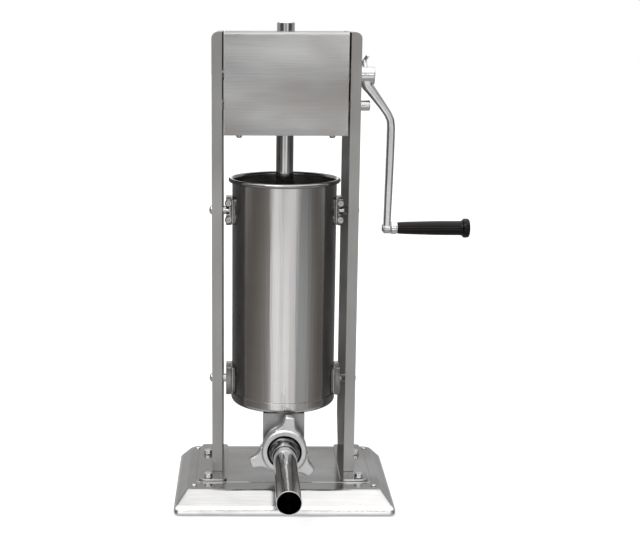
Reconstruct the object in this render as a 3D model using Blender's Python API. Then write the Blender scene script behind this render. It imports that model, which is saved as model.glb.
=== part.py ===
"""Vertical hand-cranked sausage stuffer, modelled as an assembly of separate parts.

Everything is authored in the machine's own frame, in metres: X = 0 is the cylinder's axis,
Y = 0 is the front face of the two columns, Z = 0 is the lower rim of the base pan. The
empty "machine" then carries that frame so that the middle of the whole footprint, under
the rubber feet, is the world origin. +Z is up and the stuffing tube points along -Y.
"""

import math

import bmesh
import bpy
from mathutils import Matrix, Vector

# ---------------------------------------------------------------- driving dimensions
GAP = 0.0003              # between pieces that touch or are welded
RUNNING = 0.00005         # radial clearance of a shaft in its bush
SHEET = 0.0015            # pressed stainless sheet

# base
BASE_TOP_Z = 0.027
BASE_TOP_HALF_WIDTH = 0.131
BASE_TOP_FRONT, BASE_TOP_REAR = -0.061, 0.115
BASE_RIM_HALF_WIDTH = 0.1486
BASE_RIM_FRONT, BASE_RIM_REAR = -0.083, 0.135
BASE_HEM = 0.006          # upright rim at the foot of the skirt
BASE_CORNER = 0.008
BASE_SHOULDER = 0.002     # fold between the skirt and the top
FOOT_DROP = 0.003         # how far the rubber feet stand below the rim
FOOT_X = 0.122
FOOT_FRONT_Y, FOOT_REAR_Y = -0.045, 0.104
FOOT_R, FOOT_NECK_R = 0.0105, 0.0055
FOOT_SCREW_HOLE_R = 0.0026

# columns
COLUMN_OUTSIDE = 0.0985   # outer face of each web, from the middle
COLUMN_FLANGE = 0.014
COLUMN_SHEET = 0.002
COLUMN_DEPTH = 0.138
COLUMN_FOOT_DEPTH = 0.113
COLUMN_BEND_Z = 0.073     # where the rear flange starts to lean forward
COLUMN_TOP = 0.633
COLUMN_TOP_RADIUS = 0.0085
FOOT_PLATE = 0.003
FOOT_PLATE_INSIDE, FOOT_PLATE_OUTSIDE = 0.078, 0.116
FOOT_PLATE_FRONT, FOOT_PLATE_REAR = -0.031, 0.1136
BOLT_PLACES = ((0.1035, -0.022), (0.1065, 0.072))
BOLT_R, BOLT_HOLE_R = 0.003, 0.0035
BOLT_FLATS, BOLT_FLANGE_R, BOLT_HEAD = 0.010, 0.0064, 0.0055

# gearbox
BOX_HALF_WIDTH = 0.082
BOX_BOTTOM, BOX_TOP = 0.4979, 0.6328
BOX_FRONT, BOX_REAR = 0.001, 0.137
BOX_BEND = 0.004
BOX_LIP = 0.017
BOX_BACK_LIP = 0.014      # how far the cover folds down behind
BOX_SCREW_X = 0.062
BOX_SCREW_INSET = 0.010
BOX_SCREW_R, BOX_SCREW_HEAD_R, BOX_SCREW_HOLE_R = 0.002, 0.0042, 0.0025
SHAFT_R = 0.00725
SHAFT_BUSH_R, SHAFT_BUSH_FLANGE_R, SHAFT_BUSH_FLANGE = 0.0095, 0.0125, 0.0018
BEARING_PLATE, BEARING_HALF_WIDTH = 0.005, 0.020
SHAFT_SEGMENTS = 24
UPPER_SHAFT_Z = 0.5741
STUB_END = 0.1165         # free end of the lower shaft

# gears: 25 degree teeth
PRESSURE = math.radians(25)
DRIVE_MODULE = 0.0015
CRANK_TEETH, LARGE_TEETH = 15, 39
RACK_MODULE = 0.002
PINION_TEETH = 14
TOOTH_PLAY = 0.0001       # taken off every tooth's thickness
FLANK_STEPS = 3
KEY_HALF, KEY_SINK, KEY_RISE = 0.002, 0.0018, 0.0015

# cylinder
AXIS_Y = 0.0447
CYL_INSIDE, CYL_OUTSIDE = 0.070, 0.0715
CYL_BOTTOM, CYL_RIM = 0.122, 0.437
CYL_SEGMENTS = 48
CUP_OUTSIDE, CUP_TOP, CUP_CORNER = 0.0727, 0.137, 0.006
BEAD_OUTSIDE = 0.0767
BRACKET_HALF_DEPTH = 0.017
BRACKET_INSIDE, BRACKET_OUTSIDE = 0.0730, 0.0798
UPPER_BRACKET_HALF_HEIGHT, LOWER_BRACKET_HALF_HEIGHT = 0.019, 0.0205
BRACKET_BACKING = 0.0015  # what the slots and bores leave next to the cylinder
UPPER_PIN_Z, LOWER_PIN_Z = 0.392, 0.153
PIN_R = 0.006
PIN_COLLAR_R, PIN_COLLAR = 0.0085, 0.004
PIN_SHANK_R = 0.0045
PIN_HEAD_R, PIN_HEAD = 0.0062, 0.0045

# rack and piston
RACK_R = 0.012
RACK_BOTTOM, RACK_TOP = 0.1503, 0.6452
RACK_STUD_R = 0.005
RACK_FLAT = 0.0085        # from the bar's axis to the tips of its teeth
RACK_SEGMENTS = 24
RACK_TEETH_LOW, RACK_TEETH_HIGH = 0.204, 0.556
RACK_BUSH_R, RACK_BUSH_FLANGE_R, RACK_BUSH_FLANGE = 0.0148, 0.0185, 0.002
PISTON_BOTTOM = 0.1262
PISTON_R, PISTON_DISC = 0.0692, 0.010
VALVE_X = 0.038
VALVE_HEAD_R, VALVE_STEM_R = 0.006, 0.003

# outlet, nozzle and wing nut
OUTLET_Z = 0.077
DUCT_HALF_WIDTH = 0.028
DUCT_FRONT, DUCT_REAR = -0.022, 0.022
DUCT_WALL = 0.002
PIPE_R, PIPE_BORE = 0.026, 0.022
PIPE_END = -0.042
TUBE_R, TUBE_WALL = 0.0158, 0.0011
TUBE_CONE_END, TUBE_TIP = -0.071, -0.2335
TUBE_FLANGE, GASKET = 0.0025, 0.002
NUT_FRONT, NUT_REAR = -0.054, -0.034
NUT_R, NUT_HOLE = 0.0304, 0.0230
LUG_REACH = 0.0484
LUG_HALF_WIDTHS = ((-0.0022, 0.0155), (0.0006, 0.0132), (0.0035, 0.0106), (0.0080, 0.0082))
LUG_TIP_HALF = 0.0064
LUG_ANGLE = 81            # degrees, of the first of three lugs

# crank
HUB_R, HUB_INSIDE, HUB_OUTSIDE = 0.012, 0.1003, 0.122
THROW = 0.210             # between the crank's two axes
BOSS_R, BOSS_INSIDE, BOSS_OUTSIDE = 0.008, 0.139, 0.149
ARM_STATIONS = (          # X, drop below the shaft, thickness, width
    (0.1120, 0.004, 0.0150, 0.0190),
    (0.1136, 0.0134, 0.0135, 0.0185),
    (0.1327, 0.0397, 0.0100, 0.0175),
    (0.1410, 0.0515, 0.0090, 0.0170),
    (0.1450, 0.0600, 0.0092, 0.0168),
    (0.1460, 0.0700, 0.0096, 0.0165),
    (0.1440, 0.2060, 0.0088, 0.0145),
)
SPINDLE_R, SPINDLE_END = 0.004, 0.250
RIVET_R = 0.0055
FERRULE_R, FERRULE_END = 0.0088, 0.158
GRIP_END = 0.2586
SCREW_R, SCREW_HOLE_R = 0.0030, 0.0034
SCREW_X, SCREW_LEAN = 0.110, math.radians(45)
SCREW_TOP = 0.0285        # T bar's distance from the shaft's axis
BAR_R, BAR_HALF, BAR_TURN = 0.0022, 0.0105, math.radians(68)

# ---------------------------------------------------------------- sizes that follow
CENTRES = DRIVE_MODULE * (CRANK_TEETH + LARGE_TEETH) / 2
LOWER_SHAFT_Z = UPPER_SHAFT_Z - CENTRES
PINION_PITCH_R = RACK_MODULE * PINION_TEETH / 2
RACK_PITCH_Y = AXIS_Y + RACK_FLAT - RACK_MODULE
SHAFT_Y = RACK_PITCH_Y + PINION_PITCH_R
PLATE_Z = BASE_TOP_Z + GAP
COLUMN_BOTTOM = PLATE_Z + FOOT_PLATE + GAP
WEB_INSIDE = COLUMN_OUTSIDE - COLUMN_SHEET
SHIFT_X = -(GRIP_END - BASE_RIM_HALF_WIDTH) / 2
SHIFT_Y = -(COLUMN_DEPTH + TUBE_TIP) / 2


# ---------------------------------------------------------------- frames
def along_x(y, z):
    """A frame whose own Z runs along world X, at this Y and Z."""
    return Matrix(((0, 0, 1, 0), (1, 0, 0, y), (0, 1, 0, z), (0, 0, 0, 1)))


def along_y(x, z):
    return Matrix(((0, 1, 0, x), (0, 0, 1, 0), (1, 0, 0, z), (0, 0, 0, 1)))


def along_z(x, y):
    return Matrix.Translation((x, y, 0))


# ---------------------------------------------------------------- mesh makers
def finished(mesh):
    bmesh.ops.recalc_face_normals(mesh, faces=mesh.faces)
    return mesh


def skin(rings, closed=False, mesh=None):
    """Joins rings of equally many points, capped at both ends or closed on itself."""
    mesh = mesh or bmesh.new()
    loops = [[mesh.verts.new(point) for point in ring] for ring in rings]
    count = len(loops[0])
    spans = len(loops) if closed else len(loops) - 1
    for i in range(spans):
        first, second = loops[i], loops[(i + 1) % len(loops)]
        for j in range(count):
            k = (j + 1) % count
            mesh.faces.new((first[j], first[k], second[k], second[j]))
    if not closed:
        mesh.faces.new(loops[0][::-1])
        mesh.faces.new(loops[-1])
    return finished(mesh)


def prism(outline, frame, low, high, mesh=None):
    """An outline in the frame's own XY plane, extruded from low to high along its Z."""
    rings = [[frame @ Vector((a, b, level)) for a, b in outline] for level in (low, high)]
    return skin(rings, mesh=mesh)


def circle(radius, segments, turn=0.0):
    step = 2 * math.pi / segments
    return [(radius * math.cos(turn + i * step), radius * math.sin(turn + i * step))
            for i in range(segments)]


def lathe(profile, frame, segments, mesh=None):
    """Turns a closed (radius, height) outline about the frame's Z; it may run along the axis."""
    mesh = mesh or bmesh.new()
    loops = []
    for radius, height in profile:
        around = circle(radius, segments) if radius > 0 else [(0, 0)]
        loops.append([mesh.verts.new(frame @ Vector((a, b, height))) for a, b in around])
    for first, second in zip(loops, loops[1:] + loops[:1]):
        for j in range(segments):
            k = (j + 1) % segments
            corners = (first[j % len(first)], first[k % len(first)],
                       second[k % len(second)], second[j % len(second)])
            distinct = list(dict.fromkeys(corners))
            if len(distinct) > 2:
                mesh.faces.new(distinct)
    return finished(mesh)


def rod(radius, frame, low, high, segments=24, chamfer=0.0, mesh=None):
    profile = [(0, low), (radius - chamfer, low), (radius, low + chamfer),
               (radius, high - chamfer), (radius - chamfer, high), (0, high)]
    if not chamfer:
        profile = [(0, low), (radius, low), (radius, high), (0, high)]
    return lathe(profile, frame, segments, mesh)


def tube(inside, outside, frame, low, high, segments=24):
    profile = [(inside, low), (outside, low), (outside, high), (inside, high)]
    return lathe(profile, frame, segments)


def bore(shaft, clearance, segments):
    """The corner radius of a faceted bore whose flats clear a shaft of this radius."""
    return (shaft + clearance) / math.cos(math.pi / segments)


def rounded_rectangle(x0, x1, y0, y1, radius, steps=4):
    corners = ((x1 - radius, y1 - radius, 0), (x0 + radius, y1 - radius, 90),
               (x0 + radius, y0 + radius, 180), (x1 - radius, y0 + radius, 270))
    points = []
    for x, y, start in corners:
        for i in range(steps + 1):
            angle = math.radians(start + 90 * i / steps)
            points.append((x + radius * math.cos(angle), y + radius * math.sin(angle)))
    return points


def hexagon(flats, per_side=2):
    """A hexagon with each side divided, so that it meets a round ring of 6 * per_side."""
    corners = circle(flats / math.sqrt(3), 6)
    points = []
    for (ax, ay), (bx, by) in zip(corners, corners[1:] + corners[:1]):
        points += [(ax + (bx - ax) * i / per_side, ay + (by - ay) * i / per_side)
                   for i in range(per_side)]
    return points


def flange_bolt(frame, flats, head_low, head_high, flange_r, shank_r, shank_low):
    flange_top = head_low + 0.0012
    levels = ((hexagon(flats), head_high), (hexagon(flats), flange_top),
              (circle(flange_r, 12), flange_top), (circle(flange_r, 12), head_low),
              (circle(shank_r, 12), head_low), (circle(shank_r, 12), shank_low))
    return skin([[frame @ Vector((a, b, z)) for a, b in outline] for outline, z in levels])


def hex_nut(frame, flats, low, high, hole_r):
    levels = ((hexagon(flats), high), (hexagon(flats), low),
              (circle(hole_r, 12), low), (circle(hole_r, 12), high))
    rings = [[frame @ Vector((a, b, z)) for a, b in outline] for outline, z in levels]
    return skin(rings, closed=True)


def pan_screw(frame, head_r, head_base, head_top, shank_r, shank_end, segments=12):
    """head_top may lie on either side of head_base, so that a screw can face down."""
    rise = head_top - head_base
    profile = [(0, head_top), (head_r * 0.6, head_top), (head_r, head_base + rise * 0.45),
               (head_r, head_base), (shank_r, head_base), (shank_r, shank_end), (0, shank_end)]
    return lathe(profile, frame, segments)


# ---------------------------------------------------------------- gear teeth
def involute(angle):
    return math.tan(angle) - angle


def gear_outline(teeth, module, tooth_at):
    """The outline of a spur gear with one tooth's middle at the angle tooth_at."""
    pitch_r = module * teeth / 2
    base_r = pitch_r * math.cos(PRESSURE)
    root_r = pitch_r - 1.25 * module
    tip_r = pitch_r + module
    at_pitch = math.pi / (2 * teeth) - TOOTH_PLAY / (2 * pitch_r) + involute(PRESSURE)
    start_r = max(base_r, root_r)
    half_tooth = [(root_r, at_pitch)] if root_r < base_r else []
    for i in range(FLANK_STEPS + 1):
        radius = start_r + (tip_r - start_r) * i / FLANK_STEPS
        half_tooth.append((radius, at_pitch - involute(math.acos(min(1.0, base_r / radius)))))
    points = []
    for n in range(teeth):
        middle = tooth_at + 2 * math.pi * n / teeth
        flanks = [(r, middle - a) for r, a in half_tooth] + \
                 [(r, middle + a) for r, a in reversed(half_tooth)]
        points += [(r * math.cos(a), r * math.sin(a)) for r, a in flanks]
    return points


def rack_cut():
    """What is planed off the back of the round bar: a comb, in Y and Z."""
    pitch = math.pi * RACK_MODULE
    tip_y = RACK_PITCH_Y + RACK_MODULE
    root_y = RACK_PITCH_Y - 1.25 * RACK_MODULE
    half_gap = pitch / 4 + TOOTH_PLAY / 2
    slope = math.tan(PRESSURE)
    wide = half_gap + RACK_MODULE * slope
    narrow = half_gap - 1.25 * RACK_MODULE * slope
    below = math.floor((LOWER_SHAFT_Z - RACK_TEETH_LOW) / pitch)
    above = math.floor((RACK_TEETH_HIGH - LOWER_SHAFT_Z) / pitch)
    points = [(AXIS_Y + 0.016, RACK_TEETH_LOW - 0.003), (tip_y, RACK_TEETH_LOW - 0.003)]
    for n in range(-below, above + 1):
        middle = LOWER_SHAFT_Z + n * pitch
        points += [(tip_y, middle - wide), (root_y, middle - narrow),
                   (root_y, middle + narrow), (tip_y, middle + wide)]
    return points + [(tip_y, RACK_TEETH_HIGH + 0.003), (AXIS_Y + 0.016, RACK_TEETH_HIGH + 0.003)]


# ---------------------------------------------------------------- objects
def material(name, colour, metallic, roughness):
    made = bpy.data.materials.new(name)
    made.use_nodes = True
    shader = made.node_tree.nodes["Principled BSDF"]
    shader.inputs["Base Color"].default_value = (*colour, 1)
    shader.inputs["Metallic"].default_value = metallic
    shader.inputs["Roughness"].default_value = roughness
    return made


def empty(name, place, parent=None):
    made = bpy.data.objects.new(name, None)
    made.empty_display_size = 0.02
    made.location = place
    made.parent = parent
    bpy.context.scene.collection.objects.link(made)
    return made


def add(name, mesh, finish, pivot):
    """Puts a mesh authored in the machine's frame under the pivot it moves with."""
    origin = Vector((0, 0, 0)) if pivot.parent is None else pivot.location
    bmesh.ops.translate(mesh, verts=mesh.verts, vec=-origin)
    data = bpy.data.meshes.new(name)
    mesh.to_mesh(data)
    mesh.free()
    data.materials.append(finish)
    data.shade_smooth()
    data.set_sharp_from_angle(angle=math.radians(35))
    made = bpy.data.objects.new(name, data)
    made.parent = pivot
    bpy.context.scene.collection.objects.link(made)
    return made


def combine(made, mesh, operation="DIFFERENCE"):
    """Cuts a mesh out of an object, or joins it to one, with a Boolean modifier."""
    tool = add(made.name + "_tool", mesh, made.data.materials[0], made.parent)
    tool.hide_render = True
    tool.display_type = "WIRE"
    step = made.modifiers.new(operation.lower(), "BOOLEAN")
    step.operation = operation
    step.solver = "EXACT"
    step.object = tool
    return made


# ---------------------------------------------------------------- base
def base_pan(steel, machine):
    def ring(half_width, front, rear, radius, z):
        outline = rounded_rectangle(-half_width, half_width, front, rear, radius)
        return [Vector((x, y, z)) for x, y in outline]

    def levels(inset):
        """From the rim up to the top, drawn in by inset all round."""
        half_width = BASE_TOP_HALF_WIDTH - inset
        front, rear = BASE_TOP_FRONT + inset, BASE_TOP_REAR - inset
        edge, top = BASE_SHOULDER, BASE_TOP_Z - inset
        lower = (BASE_RIM_HALF_WIDTH - inset, BASE_RIM_FRONT + inset, BASE_RIM_REAR - inset,
                 BASE_CORNER - inset / 2)
        return [ring(*lower, 0), ring(*lower, BASE_HEM - inset / 2),
                ring(half_width + edge, front - edge, rear + edge, BASE_CORNER, top - edge),
                ring(half_width, front, rear, BASE_CORNER, top)]

    pan = add("base_pan", skin(levels(SHEET)[::-1] + levels(0)), steel, machine)
    holes = bmesh.new()
    for side in (-1, 1):
        for x, y in BOLT_PLACES:
            rod(BOLT_HOLE_R, along_z(side * x, y), BASE_TOP_Z - 0.01, BASE_TOP_Z + 0.01, 12, mesh=holes)
        for y in (FOOT_FRONT_Y, FOOT_REAR_Y):
            rod(FOOT_SCREW_HOLE_R, along_z(side * FOOT_X, y), BASE_TOP_Z - 0.01, BASE_TOP_Z + 0.01, 12,
                mesh=holes)
    combine(pan, holes)


def rubber_feet(rubber, machine):
    top = BASE_TOP_Z - SHEET - GAP
    for row, y in (("front", FOOT_FRONT_Y), ("rear", FOOT_REAR_Y)):
        for side, label in ((-1, "left"), (1, "right")):
            frame = along_z(side * FOOT_X, y)
            profile = [(0, -FOOT_DROP), (FOOT_R - 0.001, -FOOT_DROP), (FOOT_R, -FOOT_DROP + 0.001),
                       (FOOT_R, 0.004), (FOOT_NECK_R, top), (FOOT_SCREW_HOLE_R, top),
                       (FOOT_SCREW_HOLE_R, 0.008), (0, 0.008)]
            add(f"rubber_foot_{row}_{label}", lathe(profile, frame, 16), rubber, machine)


def columns(steel, machine):
    def side_outline(inset, drop):
        bottom = COLUMN_BOTTOM - drop
        lean = (COLUMN_DEPTH - COLUMN_FOOT_DEPTH) / (COLUMN_BEND_Z - COLUMN_BOTTOM)
        return [(inset, bottom), (COLUMN_FOOT_DEPTH - inset - lean * drop, bottom),
                (COLUMN_DEPTH - inset, COLUMN_BEND_Z), (COLUMN_DEPTH - inset, COLUMN_TOP - inset),
                (inset, COLUMN_TOP - inset)]

    def block(side, inset, drop, x_in, x_out, radius):
        mesh = prism(side_outline(inset, drop), along_x(0, 0), side * x_in, side * x_out)
        corner_x, corner_z = side * x_out, COLUMN_TOP - inset

        def on_corner(vertex):
            return abs(vertex.co.x - corner_x) < 1e-6 and abs(vertex.co.z - corner_z) < 1e-6

        edges = [edge for edge in mesh.edges if all(on_corner(v) for v in edge.verts)]
        bmesh.ops.bevel(mesh, geom=edges, offset=radius, segments=5, affect="EDGES", profile=0.5)
        return finished(mesh)

    inner_edge = COLUMN_OUTSIDE - COLUMN_FLANGE
    for side, label in ((-1, "left"), (1, "right")):
        channel = add(label + "_column",
                      block(side, 0, 0, inner_edge, COLUMN_OUTSIDE, COLUMN_TOP_RADIUS), steel, machine)
        combine(channel, block(side, COLUMN_SHEET, 0.01, inner_edge - 0.01, WEB_INSIDE,
                               COLUMN_TOP_RADIUS - COLUMN_SHEET))
        holes = bmesh.new()
        span = sorted((side * (WEB_INSIDE - 0.004), side * (COLUMN_OUTSIDE + 0.004)))
        for z in (UPPER_PIN_Z, LOWER_PIN_Z):
            rod(PIN_SHANK_R + GAP, along_x(AXIS_Y, z), *span, 16, mesh=holes)
        if side > 0:
            for z in (UPPER_SHAFT_Z, LOWER_SHAFT_Z):
                rod(SHAFT_BUSH_R + GAP, along_x(SHAFT_Y, z), *span, SHAFT_SEGMENTS, mesh=holes)
        combine(channel, holes)


def foot_plates(steel, zinc, machine):
    top = PLATE_Z + FOOT_PLATE
    for side, label in ((-1, "left"), (1, "right")):
        x0, x1 = sorted((side * FOOT_PLATE_INSIDE, side * FOOT_PLATE_OUTSIDE))
        outline = rounded_rectangle(x0, x1, FOOT_PLATE_FRONT, FOOT_PLATE_REAR, 0.006)
        plate = add(label + "_foot_plate", prism(outline, along_z(0, 0), PLATE_Z, top), steel, machine)
        holes = bmesh.new()
        for row, (x, y) in zip(("front", "rear"), BOLT_PLACES):
            frame = along_z(side * x, y)
            rod(BOLT_HOLE_R, frame, PLATE_Z - 0.005, top + 0.005, 12, mesh=holes)
            seat = top + GAP
            bolt = flange_bolt(frame, BOLT_FLATS, seat, seat + BOLT_HEAD, BOLT_FLANGE_R, BOLT_R, 0.012)
            add(f"base_bolt_{row}_{label}", bolt, zinc, machine)
        combine(plate, holes)


# ---------------------------------------------------------------- gearbox
def gearbox_shell(steel, zinc, machine):
    def bend(radius, start, end, step):
        """Points round the bend between the front and the top, which share its centre."""
        return [(BOX_FRONT + BOX_BEND - radius * math.cos(math.radians(a)),
                 BOX_TOP - BOX_BEND + radius * math.sin(math.radians(a))) for a in range(start, end, step)]

    def sheet(name, outline):
        return add(name, prism(outline, along_x(0, 0), -BOX_HALF_WIDTH, BOX_HALF_WIDTH), steel, machine)

    lip, over_lip = BOX_FRONT + BOX_LIP, BOX_BOTTOM + SHEET
    rear = BOX_REAR - SHEET - GAP
    drop, under_top = BOX_TOP - BOX_BACK_LIP, BOX_TOP - SHEET
    outside = [(lip, BOX_BOTTOM), (BOX_FRONT, BOX_BOTTOM)] + bend(BOX_BEND, 0, 91, 15)
    behind = [(rear, BOX_TOP), (rear, drop), (rear - SHEET, drop), (rear - SHEET, under_top)]
    inside = bend(BOX_BEND - SHEET, 90, -1, -15) + [(BOX_FRONT + SHEET, over_lip), (lip, over_lip)]
    cover = sheet("gearbox_cover", outside + behind + inside)
    lip = BOX_REAR - BOX_LIP
    back = sheet("gearbox_back", [(lip, BOX_BOTTOM), (BOX_REAR, BOX_BOTTOM), (BOX_REAR, BOX_TOP),
                                  (BOX_REAR - SHEET, BOX_TOP), (BOX_REAR - SHEET, over_lip),
                                  (lip, over_lip)])

    floor_low = BOX_BOTTOM + SHEET + GAP
    floor_high = floor_low + SHEET
    plate = rounded_rectangle(-BOX_HALF_WIDTH, BOX_HALF_WIDTH, BOX_FRONT + SHEET + GAP, rear, 0.002, 2)
    floor = add("gearbox_floor", prism(plate, along_z(0, 0), floor_low, floor_high), steel, machine)

    bar_line = along_z(0, AXIS_Y)
    top_hole = rod(RACK_R + 2 * GAP, bar_line, BOX_TOP - 0.006, BOX_TOP + 0.005, RACK_SEGMENTS)
    floor_holes = rod(RACK_BUSH_R + GAP, bar_line, floor_low - 0.005, floor_high + 0.005, RACK_SEGMENTS)
    cover_holes, back_holes = bmesh.new(), bmesh.new()
    front_screws, rear_screws = BOX_FRONT + BOX_SCREW_INSET, BOX_REAR - BOX_SCREW_INSET
    for label, x in (("left", -BOX_SCREW_X), ("right", BOX_SCREW_X)):
        for y, holes in ((front_screws, cover_holes), (rear_screws, back_holes)):
            frame = along_z(x, y)
            rod(BOX_SCREW_HOLE_R, frame, BOX_BOTTOM - 0.003, BOX_BOTTOM + 0.0025, 12, mesh=holes)
            rod(BOX_SCREW_HOLE_R, frame, floor_low - 0.0002, floor_high + 0.004, 12, mesh=floor_holes)
        screw = pan_screw(along_z(x, front_screws), BOX_SCREW_HEAD_R, BOX_BOTTOM - GAP,
                          BOX_BOTTOM - 0.0036, BOX_SCREW_R, floor_high + 0.004)
        add("cover_screw_" + label, screw, zinc, machine)
        frame = along_y(x, BOX_TOP - 0.008)
        rod(BOX_SCREW_HOLE_R, frame, rear - SHEET - 0.002, rear + 0.0001, 12, mesh=cover_holes)
        rod(BOX_SCREW_HOLE_R, frame, BOX_REAR - SHEET - 0.0001, BOX_REAR + 0.003, 12, mesh=back_holes)
    combine(cover, top_hole)
    combine(cover, cover_holes)
    combine(back, back_holes)
    combine(floor, floor_holes)


def bearings(steel, bronze, machine):
    plate_in, plate_out = WEB_INSIDE - GAP - BEARING_PLATE, WEB_INSIDE - GAP
    flange_in, flange_out = plate_in - GAP - SHAFT_BUSH_FLANGE, plate_in - GAP
    hole_r = bore(SHAFT_R, RUNNING, SHAFT_SEGMENTS)
    half = BEARING_HALF_WIDTH
    for side, label in ((-1, "left"), (1, "right")):
        outline = rounded_rectangle(SHAFT_Y - half, SHAFT_Y + half, LOWER_SHAFT_Z - half,
                                    UPPER_SHAFT_Z + half, 0.006)
        low, high = sorted((side * plate_in, side * plate_out))
        plate = add(label + "_bearing_plate", prism(outline, along_x(0, 0), low, high), steel, machine)
        holes = bmesh.new()
        end = COLUMN_OUTSIDE + 0.0008 if side > 0 else plate_out
        profile = [(hole_r, flange_in), (SHAFT_BUSH_FLANGE_R, flange_in), (SHAFT_BUSH_FLANGE_R, flange_out),
                   (SHAFT_BUSH_R, flange_out), (SHAFT_BUSH_R, end), (hole_r, end)]
        for level, z in (("upper", UPPER_SHAFT_Z), ("lower", LOWER_SHAFT_Z)):
            frame = along_x(SHAFT_Y, z)
            rod(SHAFT_BUSH_R + GAP, frame, low - 0.004, high + 0.004, SHAFT_SEGMENTS, mesh=holes)
            bush = lathe([(r, side * x) for r, x in profile], frame, SHAFT_SEGMENTS)
            add(f"{level}_{label}_bush", bush, bronze, machine)
        combine(plate, holes)


def rack_bushes(bronze, machine):
    frame = along_z(0, AXIS_Y)
    inside = bore(RACK_R, RUNNING, RACK_SEGMENTS)
    outside, flange_r = RACK_BUSH_R, RACK_BUSH_FLANGE_R
    top = BOX_TOP - SHEET - GAP
    under_flange = top - RACK_BUSH_FLANGE
    profile = [(inside, top), (flange_r, top), (flange_r, under_flange), (outside, under_flange),
               (outside, top - 0.014), (inside, top - 0.014)]
    add("rack_top_bush", lathe(profile, frame, RACK_SEGMENTS), bronze, machine)
    low = BOX_BOTTOM + 2 * SHEET + 2 * GAP
    over_flange = low + RACK_BUSH_FLANGE
    profile = [(inside, low - 0.0055), (outside, low - 0.0055), (outside, low), (flange_r, low),
               (flange_r, over_flange), (outside, over_flange), (outside, low + 0.008),
               (inside, low + 0.008)]
    add("rack_floor_bush", lathe(profile, frame, RACK_SEGMENTS), bronze, machine)


# ---------------------------------------------------------------- cylinder
def cylinder(steel, machine):
    frame = along_z(0, AXIS_Y)
    bead_r = (BEAD_OUTSIDE - CYL_INSIDE - 0.0006) / 2
    bead_middle = BEAD_OUTSIDE - bead_r
    bead = [(bead_middle + bead_r * math.cos(math.radians(a)),
             CYL_RIM - bead_r + bead_r * math.sin(math.radians(a))) for a in range(140, -61, -40)]
    wall_foot = CYL_BOTTOM + CUP_CORNER + GAP
    profile = [(CYL_INSIDE, wall_foot), (CYL_INSIDE, CYL_RIM - bead_r)] + bead + \
              [(CYL_OUTSIDE, CYL_RIM - 1.9 * bead_r), (CYL_OUTSIDE, wall_foot)]
    add("cylinder_wall", lathe(profile, frame, CYL_SEGMENTS), steel, machine)

    turn = [math.radians(a) for a in (0, 30, 60, 90)]
    outer = [(CUP_OUTSIDE - CUP_CORNER * (1 - math.sin(a)), CYL_BOTTOM + CUP_CORNER * (1 - math.cos(a)))
             for a in turn]
    inner_r = CYL_OUTSIDE + GAP
    profile = [(0, CYL_BOTTOM), *outer, (CUP_OUTSIDE, CUP_TOP), (inner_r, CUP_TOP),
               (inner_r, CYL_BOTTOM + CUP_CORNER), (CUP_OUTSIDE - CUP_CORNER * 0.8, CYL_BOTTOM + SHEET),
               (0, CYL_BOTTOM + SHEET)]
    cup = add("cylinder_cup", lathe(profile, frame, CYL_SEGMENTS), steel, machine)
    opening = rounded_rectangle(-0.022, 0.022, -0.016, 0.016, 0.008)
    combine(cup, prism(opening, along_z(0, 0), CYL_BOTTOM - 0.005, CYL_BOTTOM + 0.006))


def brackets(steel, chrome, machine):
    front, rear = AXIS_Y - BRACKET_HALF_DEPTH, AXIS_Y + BRACKET_HALF_DEPTH
    slot_half = PIN_R + 0.0008
    slot = [(front - 0.01, UPPER_PIN_Z - slot_half), (rear + 0.01, UPPER_PIN_Z - slot_half),
            (rear + 0.01, UPPER_PIN_Z + slot_half), (front - 0.01, UPPER_PIN_Z + slot_half)]
    for side, label in ((-1, "left"), (1, "right")):
        low, high = sorted((side * BRACKET_INSIDE, side * BRACKET_OUTSIDE))
        cut = sorted((side * (BRACKET_INSIDE + BRACKET_BACKING), side * (BRACKET_OUTSIDE + 0.003)))
        bracket = {}
        for level, z, half in (("upper", UPPER_PIN_Z, UPPER_BRACKET_HALF_HEIGHT),
                               ("lower", LOWER_PIN_Z, LOWER_BRACKET_HALF_HEIGHT)):
            outline = rounded_rectangle(front, rear, z - half, z + half, 0.003, 3)
            bracket[level] = add(f"{level}_{label}_bracket", prism(outline, along_x(0, 0), low, high),
                                 steel, machine)
        combine(bracket["upper"], prism(slot, along_x(0, 0), *cut))
        combine(bracket["lower"], rod(PIN_R + 0.0004, along_x(AXIS_Y, LOWER_PIN_Z), *cut, 16))

    start, web = BRACKET_INSIDE + BRACKET_BACKING + 0.0005, WEB_INSIDE - GAP
    head = COLUMN_OUTSIDE + GAP
    shoulder_r = PIN_HEAD_R * math.cos(math.radians(50))
    profile = [(0, start), (PIN_R, start), (PIN_R, web - PIN_COLLAR), (PIN_COLLAR_R, web - PIN_COLLAR),
               (PIN_COLLAR_R, web), (PIN_SHANK_R, web), (PIN_SHANK_R, head), (PIN_HEAD_R, head),
               (PIN_HEAD_R, head + 0.0007), (shoulder_r, head + 0.0036), (0, head + PIN_HEAD)]
    for level, z in (("upper", UPPER_PIN_Z), ("lower", LOWER_PIN_Z)):
        for side, label in ((-1, "left"), (1, "right")):
            pin = lathe([(r, side * x) for r, x in profile], along_x(AXIS_Y, z), 16)
            add(f"{level}_{label}_pin", pin, chrome, machine)


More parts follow.
